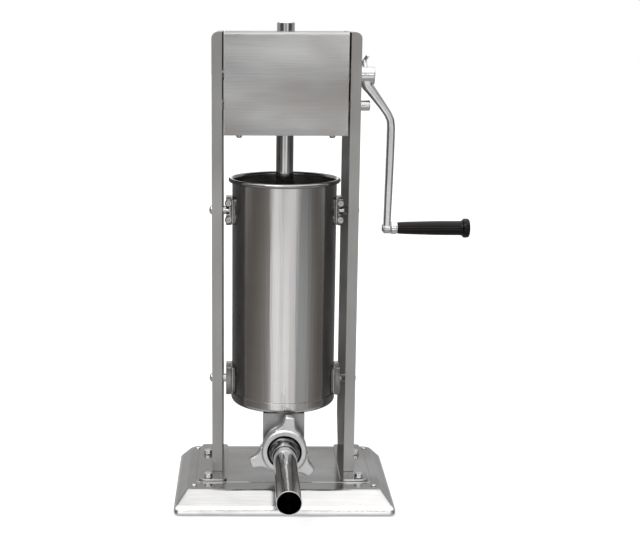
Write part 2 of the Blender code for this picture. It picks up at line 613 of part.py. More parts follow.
# ---------------------------------------------------------------- outlet
def outlet(steel, machine):
    def trough(inset, top):
        half = DUCT_HALF_WIDTH - inset
        arc = [(half * math.cos(math.radians(a)), OUTLET_Z + half * math.sin(math.radians(a)))
               for a in range(180, 361, 15)]
        return [(z, x) for x, z in [(-half, top)] + arc + [(half, top)]]

    top = CYL_BOTTOM - GAP
    duct = add("outlet_duct", prism(trough(0, top), along_y(0, 0), DUCT_FRONT, DUCT_REAR), steel, machine)
    combine(duct, prism(trough(DUCT_WALL, top + 0.01), along_y(0, 0), DUCT_FRONT + DUCT_WALL,
                        DUCT_REAR - DUCT_WALL))
    frame = along_y(0, OUTLET_Z)
    combine(duct, rod(PIPE_BORE, frame, DUCT_FRONT - 0.005, DUCT_FRONT + DUCT_WALL + 0.002, 32))
    add("outlet_pipe", tube(PIPE_BORE, PIPE_R, frame, PIPE_END, DUCT_FRONT - GAP, 32), steel, machine)


def nozzle(chrome, rubber, cast, slide, spin):
    frame = along_y(0, OUTLET_Z)
    gasket_front = PIPE_END - GAP - GASKET
    add("tube_gasket", tube(PIPE_BORE + 0.0008, PIPE_R - 0.0005, frame, gasket_front, PIPE_END - GAP, 32),
        rubber, slide)
    flange_back = gasket_front - GAP
    flange_front = flange_back - TUBE_FLANGE
    flange_r = PIPE_R - 0.0002
    bore_r = TUBE_R - TUBE_WALL
    cone_r = NUT_HOLE - 0.001
    cone_top, cone_foot = flange_front - 0.003, TUBE_CONE_END + 0.002
    profile = [(cone_r - TUBE_WALL, flange_back), (flange_r, flange_back), (flange_r, flange_front),
               (cone_r, flange_front), (cone_r - 0.0004, cone_top), (TUBE_R + 0.0004, cone_foot),
               (TUBE_R, TUBE_CONE_END - 0.002), (TUBE_R, TUBE_TIP), (bore_r, TUBE_TIP),
               (bore_r, TUBE_CONE_END - 0.002), (bore_r + 0.0004, cone_foot),
               (cone_r - TUBE_WALL - 0.0004, cone_top)]
    add("stuffing_tube", lathe(profile, frame, 32), chrome, slide)

    lip_back = flange_front - GAP
    profile = [(NUT_HOLE, NUT_FRONT + 0.001), (NUT_HOLE + 0.001, NUT_FRONT), (NUT_R - 0.0012, NUT_FRONT),
               (NUT_R, NUT_FRONT + 0.0012), (NUT_R, NUT_REAR - 0.001), (NUT_R - 0.001, NUT_REAR),
               (PIPE_R + 0.0005, NUT_REAR), (PIPE_R + 0.0005, lip_back), (NUT_HOLE, lip_back)]
    nut = add("wing_nut", lathe(profile, frame, 32), cast, spin)
    flank = [(NUT_R + rise, -half) for rise, half in LUG_HALF_WIDTHS]
    tip_rise = LUG_TIP_HALF * 0.55
    flank.append((LUG_REACH - tip_rise - 0.002, -LUG_TIP_HALF))
    tip = [(LUG_REACH - tip_rise * (1 - math.cos(math.radians(a))), LUG_TIP_HALF * math.sin(math.radians(a)))
           for a in (-60, -25, 25, 60)]
    outline = flank + tip + [(x, -y) for x, y in reversed(flank)]
    for n in range(3):
        angle = math.radians(LUG_ANGLE + 120 * n)
        turned = [(x * math.sin(angle) + y * math.cos(angle), x * math.cos(angle) - y * math.sin(angle))
                  for x, y in outline]
        lug = prism(turned, frame, NUT_FRONT + 0.003, NUT_REAR - 0.004)
        combine(nut, lug, "UNION")


# ---------------------------------------------------------------- rack and piston
def rack_and_piston(steel, bright, rubber, machine_parts, valve_pivot):
    frame = along_z(0, AXIS_Y)
    stud_low = PISTON_BOTTOM + 0.0006
    profile = [(0, stud_low), (RACK_STUD_R, stud_low), (RACK_STUD_R, RACK_BOTTOM), (RACK_R, RACK_BOTTOM),
               (RACK_R, RACK_TOP - 0.001), (RACK_R - 0.001, RACK_TOP), (0, RACK_TOP)]
    bar = add("rack", lathe(profile, frame, RACK_SEGMENTS), bright, machine_parts)
    combine(bar, prism(rack_cut(), along_x(0, 0), -0.014, 0.014))

    low, disc_top, hub_top = PISTON_BOTTOM, PISTON_BOTTOM + PISTON_DISC, RACK_BOTTOM - GAP
    hole, hub_r, recess_r, recess = RACK_STUD_R + GAP, 0.018, 0.0115, low + 0.0062
    groove_low, groove_high, groove_r = low + 0.0030, low + 0.0070, PISTON_R - 0.0035
    profile = [(recess_r, low), (PISTON_R - 0.001, low), (PISTON_R, low + 0.001), (PISTON_R, groove_low),
               (groove_r, groove_low), (groove_r, groove_high), (PISTON_R, groove_high),
               (PISTON_R, disc_top - 0.001), (PISTON_R - 0.001, disc_top), (hub_r + 0.002, disc_top),
               (hub_r, disc_top + 0.002), (hub_r, hub_top - 0.001), (hub_r - 0.001, hub_top),
               (hole, hub_top), (hole, recess), (recess_r, recess)]
    plate = add("piston_plate", lathe(profile, frame, 32), steel, machine_parts)
    valve_line = along_z(VALVE_X, AXIS_Y)
    combine(plate, rod(VALVE_STEM_R + 0.0004, valve_line, low - 0.005, disc_top + 0.005, 16))
    combine(plate, rod(VALVE_HEAD_R + 0.0008, valve_line, low - 0.005, recess, 16))

    seal_r = CYL_INSIDE * math.cos(math.pi / CYL_SEGMENTS) - 0.0001
    profile = [(groove_r + GAP, groove_low + GAP), (PISTON_R, groove_low + GAP),
               (seal_r, groove_low + 0.0010), (seal_r, groove_high - 0.0010),
               (PISTON_R, groove_high - GAP), (groove_r + GAP, groove_high - GAP)]
    add("piston_seal", lathe(profile, frame, CYL_SEGMENTS), rubber, machine_parts)
    add("piston_nut", hex_nut(frame, 0.017, low + 0.0006, recess - GAP, hole), steel, machine_parts)

    seat = disc_top + GAP
    profile = [(0, low + 0.0006), (VALVE_HEAD_R, low + 0.0006), (VALVE_HEAD_R, low + 0.0022),
               (VALVE_STEM_R, low + 0.0022), (VALVE_STEM_R, seat), (0.0075, seat), (0.0070, seat + 0.0027),
               (VALVE_STEM_R, seat + 0.0042), (0, seat + 0.0042)]
    add("air_valve", lathe(profile, valve_line, 16), bright, valve_pivot)


# ---------------------------------------------------------------- gear train
def key_way(angle, frame, low, high):
    """A square key in a shaft's side, at this angle, and the slots that it lies in."""
    def box(half, bottom, top, first, last):
        outline = [(bottom, -half), (top, -half), (top, half), (bottom, half)]
        turned = [(a * math.cos(angle) - b * math.sin(angle), a * math.sin(angle) + b * math.cos(angle))
                  for a, b in outline]
        return prism(turned, frame, first, last)

    key = box(KEY_HALF, SHAFT_R - KEY_SINK, SHAFT_R + KEY_RISE, low + GAP, high - GAP)
    in_shaft = box(KEY_HALF + GAP, SHAFT_R - KEY_SINK - GAP, SHAFT_R + 0.004, low, high)
    in_wheel = box(KEY_HALF + GAP, 0.001, SHAFT_R + KEY_RISE + GAP, low - 0.002, high + 0.002)
    return key, in_shaft, in_wheel


def gear_train(steel, gear_steel, lower, upper):
    low_frame = along_x(SHAFT_Y, LOWER_SHAFT_Z)
    high_frame = along_x(SHAFT_Y, UPPER_SHAFT_Z)
    left_end = -(WEB_INSIDE - GAP - 0.0005)
    shaft = rod(SHAFT_R, low_frame, left_end, STUB_END, SHAFT_SEGMENTS, 0.001)
    shaft = add("gear_shaft", shaft, steel, lower)

    wheel_hole = bore(SHAFT_R, 0.0002, SHAFT_SEGMENTS)
    wheels = (("rack_pinion", PINION_TEETH, RACK_MODULE, math.pi, -0.010, 0.010, 0.0),
              ("large_gear", LARGE_TEETH, DRIVE_MODULE, math.pi / 2, 0.040, 0.050, math.pi))
    for name, teeth, module, tooth_at, low, high, key_angle in wheels:
        blank = prism(gear_outline(teeth, module, tooth_at), low_frame, low, high)
        wheel = add(name, blank, gear_steel, lower)
        combine(wheel, rod(wheel_hole, low_frame, low - 0.003, high + 0.003, SHAFT_SEGMENTS))
        key, in_shaft, in_wheel = key_way(key_angle, low_frame, low + 0.0005, high - 0.0005)
        combine(shaft, in_shaft)
        combine(wheel, in_wheel)
        add(name + "_key", key, steel, lower)

    shaft = rod(SHAFT_R, high_frame, left_end, HUB_OUTSIDE - 0.0015, SHAFT_SEGMENTS, 0.001)
    crank_shaft = add("crank_shaft", shaft, steel, upper)
    tooth_at = -math.pi / 2 + math.pi / CRANK_TEETH
    pinion = prism(gear_outline(CRANK_TEETH, DRIVE_MODULE, tooth_at), high_frame, 0.038, 0.052)
    combine(crank_shaft, pinion, "UNION")


# ---------------------------------------------------------------- crank
def crank(chrome, steel, plastic, upper, screw_pivot, grip_pivot):
    def station(x, drop, thick, wide, lean):
        """An oblong ring across the arm, which leans in the XZ plane by the angle given."""
        outline = rounded_rectangle(-thick / 2, thick / 2, -wide / 2, wide / 2, thick * 0.30, 2)
        across = Vector((math.cos(lean), 0, math.sin(lean)))
        middle = Vector((x, SHAFT_Y, UPPER_SHAFT_Z - drop))
        return [middle + across * a + Vector((0, b, 0)) for a, b in outline]

    leans = []
    for i, _ in enumerate(ARM_STATIONS):
        before, after = ARM_STATIONS[max(i - 1, 0)], ARM_STATIONS[min(i + 1, len(ARM_STATIONS) - 1)]
        leans.append(math.atan2(after[0] - before[0], after[1] - before[1]))
    rings = [station(*row, lean) for row, lean in zip(ARM_STATIONS, leans)]
    hub_frame = along_x(SHAFT_Y, UPPER_SHAFT_Z)
    boss_frame = along_x(SHAFT_Y, UPPER_SHAFT_Z - THROW)
    hub = rod(HUB_R, hub_frame, HUB_INSIDE, HUB_OUTSIDE, 32, 0.001)
    arm = add("crank_arm", hub, chrome, upper)
    combine(arm, skin(rings), "UNION")
    combine(arm, rod(BOSS_R, boss_frame, BOSS_INSIDE, BOSS_OUTSIDE, 24, 0.0007), "UNION")
    combine(arm, rod(bore(SHAFT_R, 0.0002, SHAFT_SEGMENTS), hub_frame, HUB_INSIDE - 0.005,
                     HUB_OUTSIDE + 0.005, SHAFT_SEGMENTS))
    combine(arm, rod(SPINDLE_R + GAP, boss_frame, BOSS_INSIDE - 0.005, BOSS_OUTSIDE + 0.005, 16))

    side = Vector((1, 0, 0))
    out = Vector((0, math.sin(SCREW_LEAN), math.cos(SCREW_LEAN)))
    tangent = out.cross(side)
    foot = Vector((SCREW_X, SHAFT_Y, UPPER_SHAFT_Z))
    radial = Matrix.Translation(foot) @ Matrix((side, tangent, out)).transposed().to_4x4()
    combine(arm, rod(SCREW_HOLE_R, radial, SHAFT_R, HUB_R + 0.006, 12))

    bar_axis = side * math.cos(BAR_TURN) - tangent * math.sin(BAR_TURN)
    turned = Matrix((bar_axis.cross(out), out, bar_axis)).transposed().to_4x4()
    bar_frame = Matrix.Translation(foot + out * SCREW_TOP) @ turned
    screw = add("crank_screw", rod(SCREW_R, radial, SHAFT_R + 0.0006, SCREW_TOP, 12), chrome, screw_pivot)
    combine(screw, rod(BAR_R, bar_frame, -BAR_HALF, BAR_HALF, 12, 0.0005), "UNION")

    seat = BOSS_INSIDE - GAP
    profile = [(0, BOSS_INSIDE - 0.0022), (SPINDLE_R, BOSS_INSIDE - 0.0022), (RIVET_R, BOSS_INSIDE - 0.0008),
               (RIVET_R, seat), (SPINDLE_R, seat), (SPINDLE_R, SPINDLE_END), (0, SPINDLE_END)]
    add("grip_spindle", lathe(profile, boss_frame, 16), steel, upper)
    hole = bore(SPINDLE_R, RUNNING, 16)
    add("grip_ferrule", tube(hole, FERRULE_R, boss_frame, BOSS_OUTSIDE + GAP, FERRULE_END, 16), chrome,
        grip_pivot)
    start = FERRULE_END + GAP
    profile = [(hole, start), (0.0078, start), (0.0083, start + 0.002), (0.0093, start + 0.030),
               (0.0100, start + 0.060), (0.0101, GRIP_END - 0.014), (0.0104, GRIP_END - 0.0105),
               (0.0133, GRIP_END - 0.0085), (0.0136, GRIP_END - 0.0060), (0.0134, GRIP_END - 0.0022),
               (0.0120, GRIP_END), (0, GRIP_END), (0, SPINDLE_END + GAP), (hole, SPINDLE_END + GAP)]
    add("crank_grip", lathe(profile, boss_frame, 16), plastic, grip_pivot)


# ---------------------------------------------------------------- the machine
def main():
    for old in list(bpy.data.objects):
        bpy.data.objects.remove(old, do_unlink=True)

    brushed = material("brushed_stainless", (0.60, 0.60, 0.60), 1.0, 0.36)
    satin = material("satin_stainless", (0.50, 0.49, 0.48), 1.0, 0.28)
    polished = material("polished_steel", (0.62, 0.62, 0.62), 1.0, 0.14)
    chrome = material("chrome", (0.72, 0.72, 0.73), 1.0, 0.10)
    zinc = material("zinc_plated", (0.55, 0.55, 0.54), 1.0, 0.35)
    cast = material("cast_aluminium", (0.80, 0.80, 0.80), 1.0, 0.30)
    gear_steel = material("gear_steel", (0.30, 0.30, 0.31), 1.0, 0.40)
    bronze = material("bronze", (0.55, 0.38, 0.20), 1.0, 0.40)
    rubber = material("black_rubber", (0.03, 0.03, 0.03), 0.0, 0.75)
    silicone = material("white_silicone", (0.75, 0.75, 0.72), 0.0, 0.55)
    plastic = material("black_plastic", (0.035, 0.028, 0.026), 0.0, 0.18)

    machine = empty("machine", (SHIFT_X, SHIFT_Y, FOOT_DROP))
    rack_line = empty("rack_line", (0, AXIS_Y, PISTON_BOTTOM), machine)
    valve_line = empty("valve_line", (VALVE_X, AXIS_Y, PISTON_BOTTOM), machine)
    lower_axis = empty("gear_shaft_axis", (0, SHAFT_Y, LOWER_SHAFT_Z), machine)
    upper_axis = empty("crank_axis", (0, SHAFT_Y, UPPER_SHAFT_Z), machine)
    screw_axis = empty("crank_screw_axis", (SCREW_X, SHAFT_Y, UPPER_SHAFT_Z), machine)
    grip_axis = empty("grip_axis", (BOSS_OUTSIDE, SHAFT_Y, UPPER_SHAFT_Z - THROW), machine)
    tube_line = empty("tube_line", (0, PIPE_END, OUTLET_Z), machine)
    nut_axis = empty("wing_nut_axis", (0, NUT_FRONT, OUTLET_Z), machine)

    base_pan(brushed, machine)
    rubber_feet(rubber, machine)
    columns(brushed, machine)
    foot_plates(polished, zinc, machine)
    gearbox_shell(brushed, zinc, machine)
    bearings(zinc, bronze, machine)
    rack_bushes(bronze, machine)
    cylinder(satin, machine)
    brackets(satin, chrome, machine)
    outlet(brushed, machine)
    nozzle(chrome, silicone, cast, tube_line, nut_axis)
    rack_and_piston(satin, polished, silicone, rack_line, valve_line)
    gear_train(polished, gear_steel, lower_axis, upper_axis)
    crank(chrome, polished, plastic, upper_axis, screw_axis, grip_axis)


main()
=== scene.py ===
"""The looks of the sausage stuffer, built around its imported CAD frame, in metres.

CAD nodes whose shape is right stay, with rounded edges and a worked-out material. The turned,
cast and pressed pieces are built again in fine detail, and ride where the nodes they stand for
do. Every place is read from the CAD nodes' own boxes.
"""

import math

import bmesh
import bpy
from mathutils import Matrix, Vector


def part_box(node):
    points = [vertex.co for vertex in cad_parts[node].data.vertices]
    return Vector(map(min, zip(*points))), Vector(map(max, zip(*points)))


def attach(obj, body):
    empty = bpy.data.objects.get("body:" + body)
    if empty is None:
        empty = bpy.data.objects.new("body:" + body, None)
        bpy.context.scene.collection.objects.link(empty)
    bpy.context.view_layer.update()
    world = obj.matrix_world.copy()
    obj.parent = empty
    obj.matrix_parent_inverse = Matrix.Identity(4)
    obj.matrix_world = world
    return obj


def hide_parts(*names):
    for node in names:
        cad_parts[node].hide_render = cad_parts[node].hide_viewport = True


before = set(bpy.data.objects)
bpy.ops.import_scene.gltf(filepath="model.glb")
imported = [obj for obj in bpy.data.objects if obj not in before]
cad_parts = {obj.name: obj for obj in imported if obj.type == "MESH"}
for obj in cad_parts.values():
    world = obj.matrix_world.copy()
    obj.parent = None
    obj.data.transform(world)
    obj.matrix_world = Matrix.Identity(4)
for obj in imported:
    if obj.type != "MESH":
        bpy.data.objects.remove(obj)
bpy.context.view_layer.update()

SIDES = ((-1, "left"), (1, "right"))
CORNERS = [f"{row}_{side}" for row in ("front", "rear") for _, side in SIDES]
GAP = 0.0003  # between faces that touch
SHEET = 0.0015
CYLINDER_R = 0.0715

# ---------------------------------------------------------------- places, from the frame
wall_low, wall_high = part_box("cylinder_wall")
cup_low, cup_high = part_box("cylinder_cup")
AXIS_X = (wall_low.x + wall_high.x) / 2
AXIS_Y = (wall_low.y + wall_high.y) / 2
pipe_low, pipe_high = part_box("outlet_pipe")
OUTLET_Z = (pipe_low.z + pipe_high.z) / 2
spindle_low, spindle_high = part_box("grip_spindle")
GRIP_Y = (spindle_low.y + spindle_high.y) / 2
GRIP_Z = (spindle_low.z + spindle_high.z) / 2
shaft_low, shaft_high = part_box("gear_shaft")
upper_low, upper_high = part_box("upper_right_bush")
SHAFT_Y = (upper_low.y + upper_high.y) / 2
UPPER_SHAFT_Z = (upper_low.z + upper_high.z) / 2
LOWER_SHAFT_Z = (shaft_low.z + shaft_high.z) / 2
SHAFT_R = (shaft_high.z - shaft_low.z) / 2


# ---------------------------------------------------------------- frames and outlines
def along_x(y, z):
    """A frame whose own Z runs along world X, at this Y and Z."""
    return Matrix(((0, 0, 1, 0), (1, 0, 0, y), (0, 1, 0, z), (0, 0, 0, 1)))


def along_y(x, z):
    return Matrix(((0, 1, 0, x), (0, 0, 1, 0), (1, 0, 0, z), (0, 0, 0, 1)))


def along_z(x, y):
    return Matrix.Translation((x, y, 0))


def upright_through(node):
    """The upright frame through the middle of a node's box."""
    low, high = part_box(node)
    return along_z((low.x + high.x) / 2, (low.y + high.y) / 2)


def circle(radius, segments):
    step = 2 * math.pi / segments
    return [(radius * math.cos(i * step), radius * math.sin(i * step)) for i in range(segments)]


def rounded_rectangle(x0, x1, y0, y1, radius, steps=6):
    corners = ((x1 - radius, y1 - radius, 0), (x0 + radius, y1 - radius, 90),
               (x0 + radius, y0 + radius, 180), (x1 - radius, y0 + radius, 270))
    points = []
    for x, y, start in corners:
        for i in range(steps + 1):
            angle = math.radians(start + 90 * i / steps)
            points.append((x + radius * math.cos(angle), y + radius * math.sin(angle)))
    return points


def eased(outline, radius, steps=4):
    """A closed outline with its corners rounded; corners on the axis (first value 0) stay."""
    points = []
    for i, corner in enumerate(outline):
        here = Vector(corner)
        back = Vector(outline[i - 1]) - here
        ahead = Vector(outline[(i + 1) % len(outline)]) - here
        half = back.angle(ahead) / 2
        if corner[0] == 0 or half > math.radians(86):
            points.append(tuple(here))
            continue
        reach = min(radius / math.tan(half), 0.45 * back.length, 0.45 * ahead.length)
        start, end = here + back.normalized() * reach, here + ahead.normalized() * reach
        for k in range(steps + 1):
            t = k / steps
            points.append(tuple(start * (1 - t) ** 2 + here * 2 * t * (1 - t) + end * t ** 2))
    return points


# ---------------------------------------------------------------- mesh makers
def finished(mesh):
    bmesh.ops.recalc_face_normals(mesh, faces=mesh.faces)
    return mesh


def skin(rings, closed=False):
    """Joins rings of equally many points, capped at both ends or closed on itself."""
    mesh = bmesh.new()
    loops = [[mesh.verts.new(point) for point in ring] for ring in rings]
    count = len(loops[0])
    spans = len(loops) if closed else len(loops) - 1
    for i in range(spans):
        first, second = loops[i], loops[(i + 1) % len(loops)]
        for j in range(count):
            k = (j + 1) % count
            mesh.faces.new((first[j], first[k], second[k], second[j]))
    if not closed:
        mesh.faces.new(loops[0][::-1])
        mesh.faces.new(loops[-1])
    return finished(mesh)


def prism(outline, place, low, high):
    """An outline in the frame's own XY plane, extruded from low to high along its Z."""
    return skin([[place @ Vector((a, b, level)) for a, b in outline] for level in (low, high)])


def lathe(profile, place, segments=96, mesh=None):
    """Turns a closed (radius, height) outline about the frame's Z; it may run along the axis."""
    mesh = mesh or bmesh.new()
    loops = []
    for radius, height in profile:
        around = circle(radius, segments) if radius > 0 else [(0, 0)]
        loops.append([mesh.verts.new(place @ Vector((a, b, height))) for a, b in around])
    for first, second in zip(loops, loops[1:] + loops[:1]):
        for j in range(segments):
            k = (j + 1) % segments
            corners = (first[j % len(first)], first[k % len(first)],
                       second[k % len(second)], second[j % len(second)])
            distinct = list(dict.fromkeys(corners))
            if len(distinct) > 2:
                mesh.faces.new(distinct)
    return finished(mesh)


def rod(radius, place, low, high, segments=48, edge=0.0, mesh=None):
    profile = [(0, low), (radius, low), (radius, high), (0, high)]
    return lathe(eased(profile, edge) if edge else profile, place, segments, mesh)


# ---------------------------------------------------------------- pieces
def as_object(name, mesh):
    """Turns a bmesh into an object of the scene."""
    data = bpy.data.meshes.new(name)
    mesh.to_mesh(data)
    mesh.free()
    made = bpy.data.objects.new(name, data)
    bpy.context.scene.collection.objects.link(made)
    return made


def piece(name, mesh, body, finish, stands_for=(), parts=()):
    """A new piece that rides on a body; parts are (mesh, operation) pairs joined to it or cut."""
    made = as_object(name, mesh)
    for tool_mesh, operation in parts:
        boolean(made, tool_mesh, operation)
    dress(made, finish)
    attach(made, body)
    if stands_for:
        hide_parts(*stands_for)
    return made


def applied(made):
    """Applies an object's modifiers, through the evaluated mesh."""
    depsgraph = bpy.context.evaluated_depsgraph_get()
    data = bpy.data.meshes.new_from_object(made.evaluated_get(depsgraph))
    made.modifiers.clear()
    old = made.data
    made.data = data
    bpy.data.meshes.remove(old)


def boolean(made, mesh, operation):
    tool = as_object("tool", mesh)
    data = tool.data
    step = made.modifiers.new("boolean", "BOOLEAN")
    step.operation = operation
    step.solver = "EXACT"
    step.object = tool
    applied(made)
    bpy.data.objects.remove(tool, do_unlink=True)
    bpy.data.meshes.remove(data)


def dress(made, finish, angle=34):
    """Gives a piece its finish, and smooth shading up to an angle in degrees."""
    made.data.materials.clear()
    made.data.materials.append(finish)
    made.data.shade_smooth()
    made.data.set_sharp_from_angle(angle=math.radians(angle))
    weighted = made.modifiers.new("weighted_normals", "WEIGHTED_NORMAL")
    weighted.keep_sharp = True


def rounded(made, width, segments):
    bevel = made.modifiers.new("edges", "BEVEL")
    bevel.width = width
    bevel.segments = segments
    bevel.limit_method = "ANGLE"
    bevel.angle_limit = math.radians(32)
    bevel.harden_normals = True


def soften(node, finish, width):
    """Keeps a CAD node: welds its split vertices, rounds its edges, and gives it its finish."""
    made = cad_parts[node]
    if "custom_normal" in made.data.attributes:
        made.data.attributes.remove(made.data.attributes["custom_normal"])
    made.data.shade_smooth()
    weld = made.modifiers.new("weld", "WELD")
    weld.merge_threshold = 0.00001
    rounded(made, width, 2)
    made.data.materials.clear()
    made.data.materials.append(finish)


# ---------------------------------------------------------------- materials
class Finish:
    """A node material; each call to add() makes one node and sets its inputs by name."""

    def __init__(self, name):
        self.material = bpy.data.materials.new(name)
        self.material.use_nodes = True
        self.tree = self.material.node_tree
        self.shader = self.tree.nodes["Principled BSDF"]
        self.place = self.tree.nodes.new("ShaderNodeTexCoord").outputs["Object"]

    def add(self, kind, settings=None, **inputs):
        node = self.tree.nodes.new("ShaderNode" + kind)
        for key, value in (settings or {}).items():
            setattr(node, key, value)
        for key, value in inputs.items():
            self.put(node.inputs[key.replace("_", " ")], value)
        return node

    def put(self, socket, value):
        if isinstance(value, bpy.types.NodeSocket):
            self.tree.links.new(value, socket)
        else:
            socket.default_value = value

    def noise(self, scale, stretch=(1, 1, 1), detail=3.0, rough=0.5):
        """Fractal noise from 0 to 1, its coordinates stretched along each axis."""
        place = self.add("Mapping", Vector=self.place, Scale=stretch)
        made = self.add("TexNoise", Vector=place.outputs["Vector"], Scale=scale, Detail=detail,
                        Roughness=rough)
        return made.outputs["Fac"]

    def span(self, value, low, high, to_low, to_high):
        """The value's stretch from low to high, mapped to a new range and held at its ends."""
        made = self.add("MapRange", Value=value)
        for socket, number in zip(list(made.inputs)[1:5], (low, high, to_low, to_high)):
            socket.default_value = number
        return made.outputs["Result"]

    def mix(self, share, first, second):
        made = self.add("Mix", {"data_type": "RGBA"})
        self.put(made.inputs["Factor"], share)
        self.put([s for s in made.inputs if s.name == "A" and s.type == "RGBA"][0], first)
        self.put([s for s in made.inputs if s.name == "B" and s.type == "RGBA"][0], second)
        return [s for s in made.outputs if s.type == "RGBA"][0]

    def maths(self, operation, first, second):
        made = self.add("Math", {"operation": operation})
        self.put(made.inputs[0], first)
        self.put(made.inputs[1], second)
        return made.outputs[0]

    def bump(self, height, depth):
        made = self.add("Bump", Height=height, Distance=depth, Strength=1.0)
        self.put(self.shader.inputs["Normal"], made.outputs["Normal"])

    def set(self, **inputs):
        for key, value in inputs.items():
            self.put(self.shader.inputs[key.replace("_", " ")], value)


def rgb(red, green, blue):
    return (red, green, blue, 1)


def metal(name, dark, light, rough, rough_swing, grain, cloud=11.0, warm=None, depth=0.00002,
          cloud_stretch=(1, 1, 1), fine=1.0, brushed=0.0, turn=0.0, wavy=None):
    """Worked metal: fine grain along one direction, soft clouds, and a few warmer patches.

    brushed is how far the grain spreads a reflection across itself, round the Z axis at turn 0
    and up and down at turn 0.25. wavy is the scale, stretch and height in metres of a slow ripple.
    """
    made = Finish(name)
    lines = made.noise(fine, grain, 4.0, 0.65)
    long_lines = made.noise(fine * 0.32, grain, 2.0, 0.5)
    clouds = made.noise(cloud, cloud_stretch, 2.5, 0.55)
    share = made.maths("ADD", made.span(clouds, 0.30, 0.70, 0.0, 0.72), made.span(lines, 0.3, 0.7, 0.0, 0.28))
    colour = made.mix(share, dark, light)
    if warm:
        patches = made.noise(cloud * 0.42, (1, 1, 1), 2.0, 0.5)
        colour = made.mix(made.span(patches, 0.50, 0.72, 0.0, 1.0), colour, warm)
    rough_value = made.maths("ADD", made.span(lines, 0.3, 0.7, rough - rough_swing, rough + rough_swing),
                             made.span(clouds, 0.3, 0.7, -rough_swing * 0.5, rough_swing * 0.5))
    relief = made.maths("ADD", lines, long_lines)
    if wavy:
        scale, stretch, tall = wavy
        waves = made.noise(scale, stretch, 2.0)
        relief = made.maths("ADD", relief, made.maths("MULTIPLY", waves, tall / depth))
    made.bump(relief, depth)
    made.set(Base_Color=colour, Roughness=rough_value, Metallic=1.0)
    if brushed:
        tangent = made.add("Tangent", {"direction_type": "RADIAL", "axis": "Z"})
        made.set(Tangent=tangent.outputs["Tangent"], Anisotropic=brushed, Anisotropic_Rotation=turn)
    return made


def paint_light_and_shade(made, axis, low, high, colour, spots):
    """Paints light or shade into the metal's colour beyond a level, from low to high along the axis: a
    lighter colour is a painted highlight, a darker one painted shade.
    """
    parts = made.add("SeparateXYZ", Vector=made.place)
    share = made.span(parts.outputs[axis], low, high, 0.0, 1.0)
    cloudy = made.span(made.noise(spots, (0.35, 1, 1), 3.0), 0.30, 0.62, 0.45, 1.0)
    plain = made.shader.inputs["Base Color"].links[0].from_socket
    made.set(Base_Color=made.mix(made.maths("MULTIPLY", share, cloudy), plain, colour))


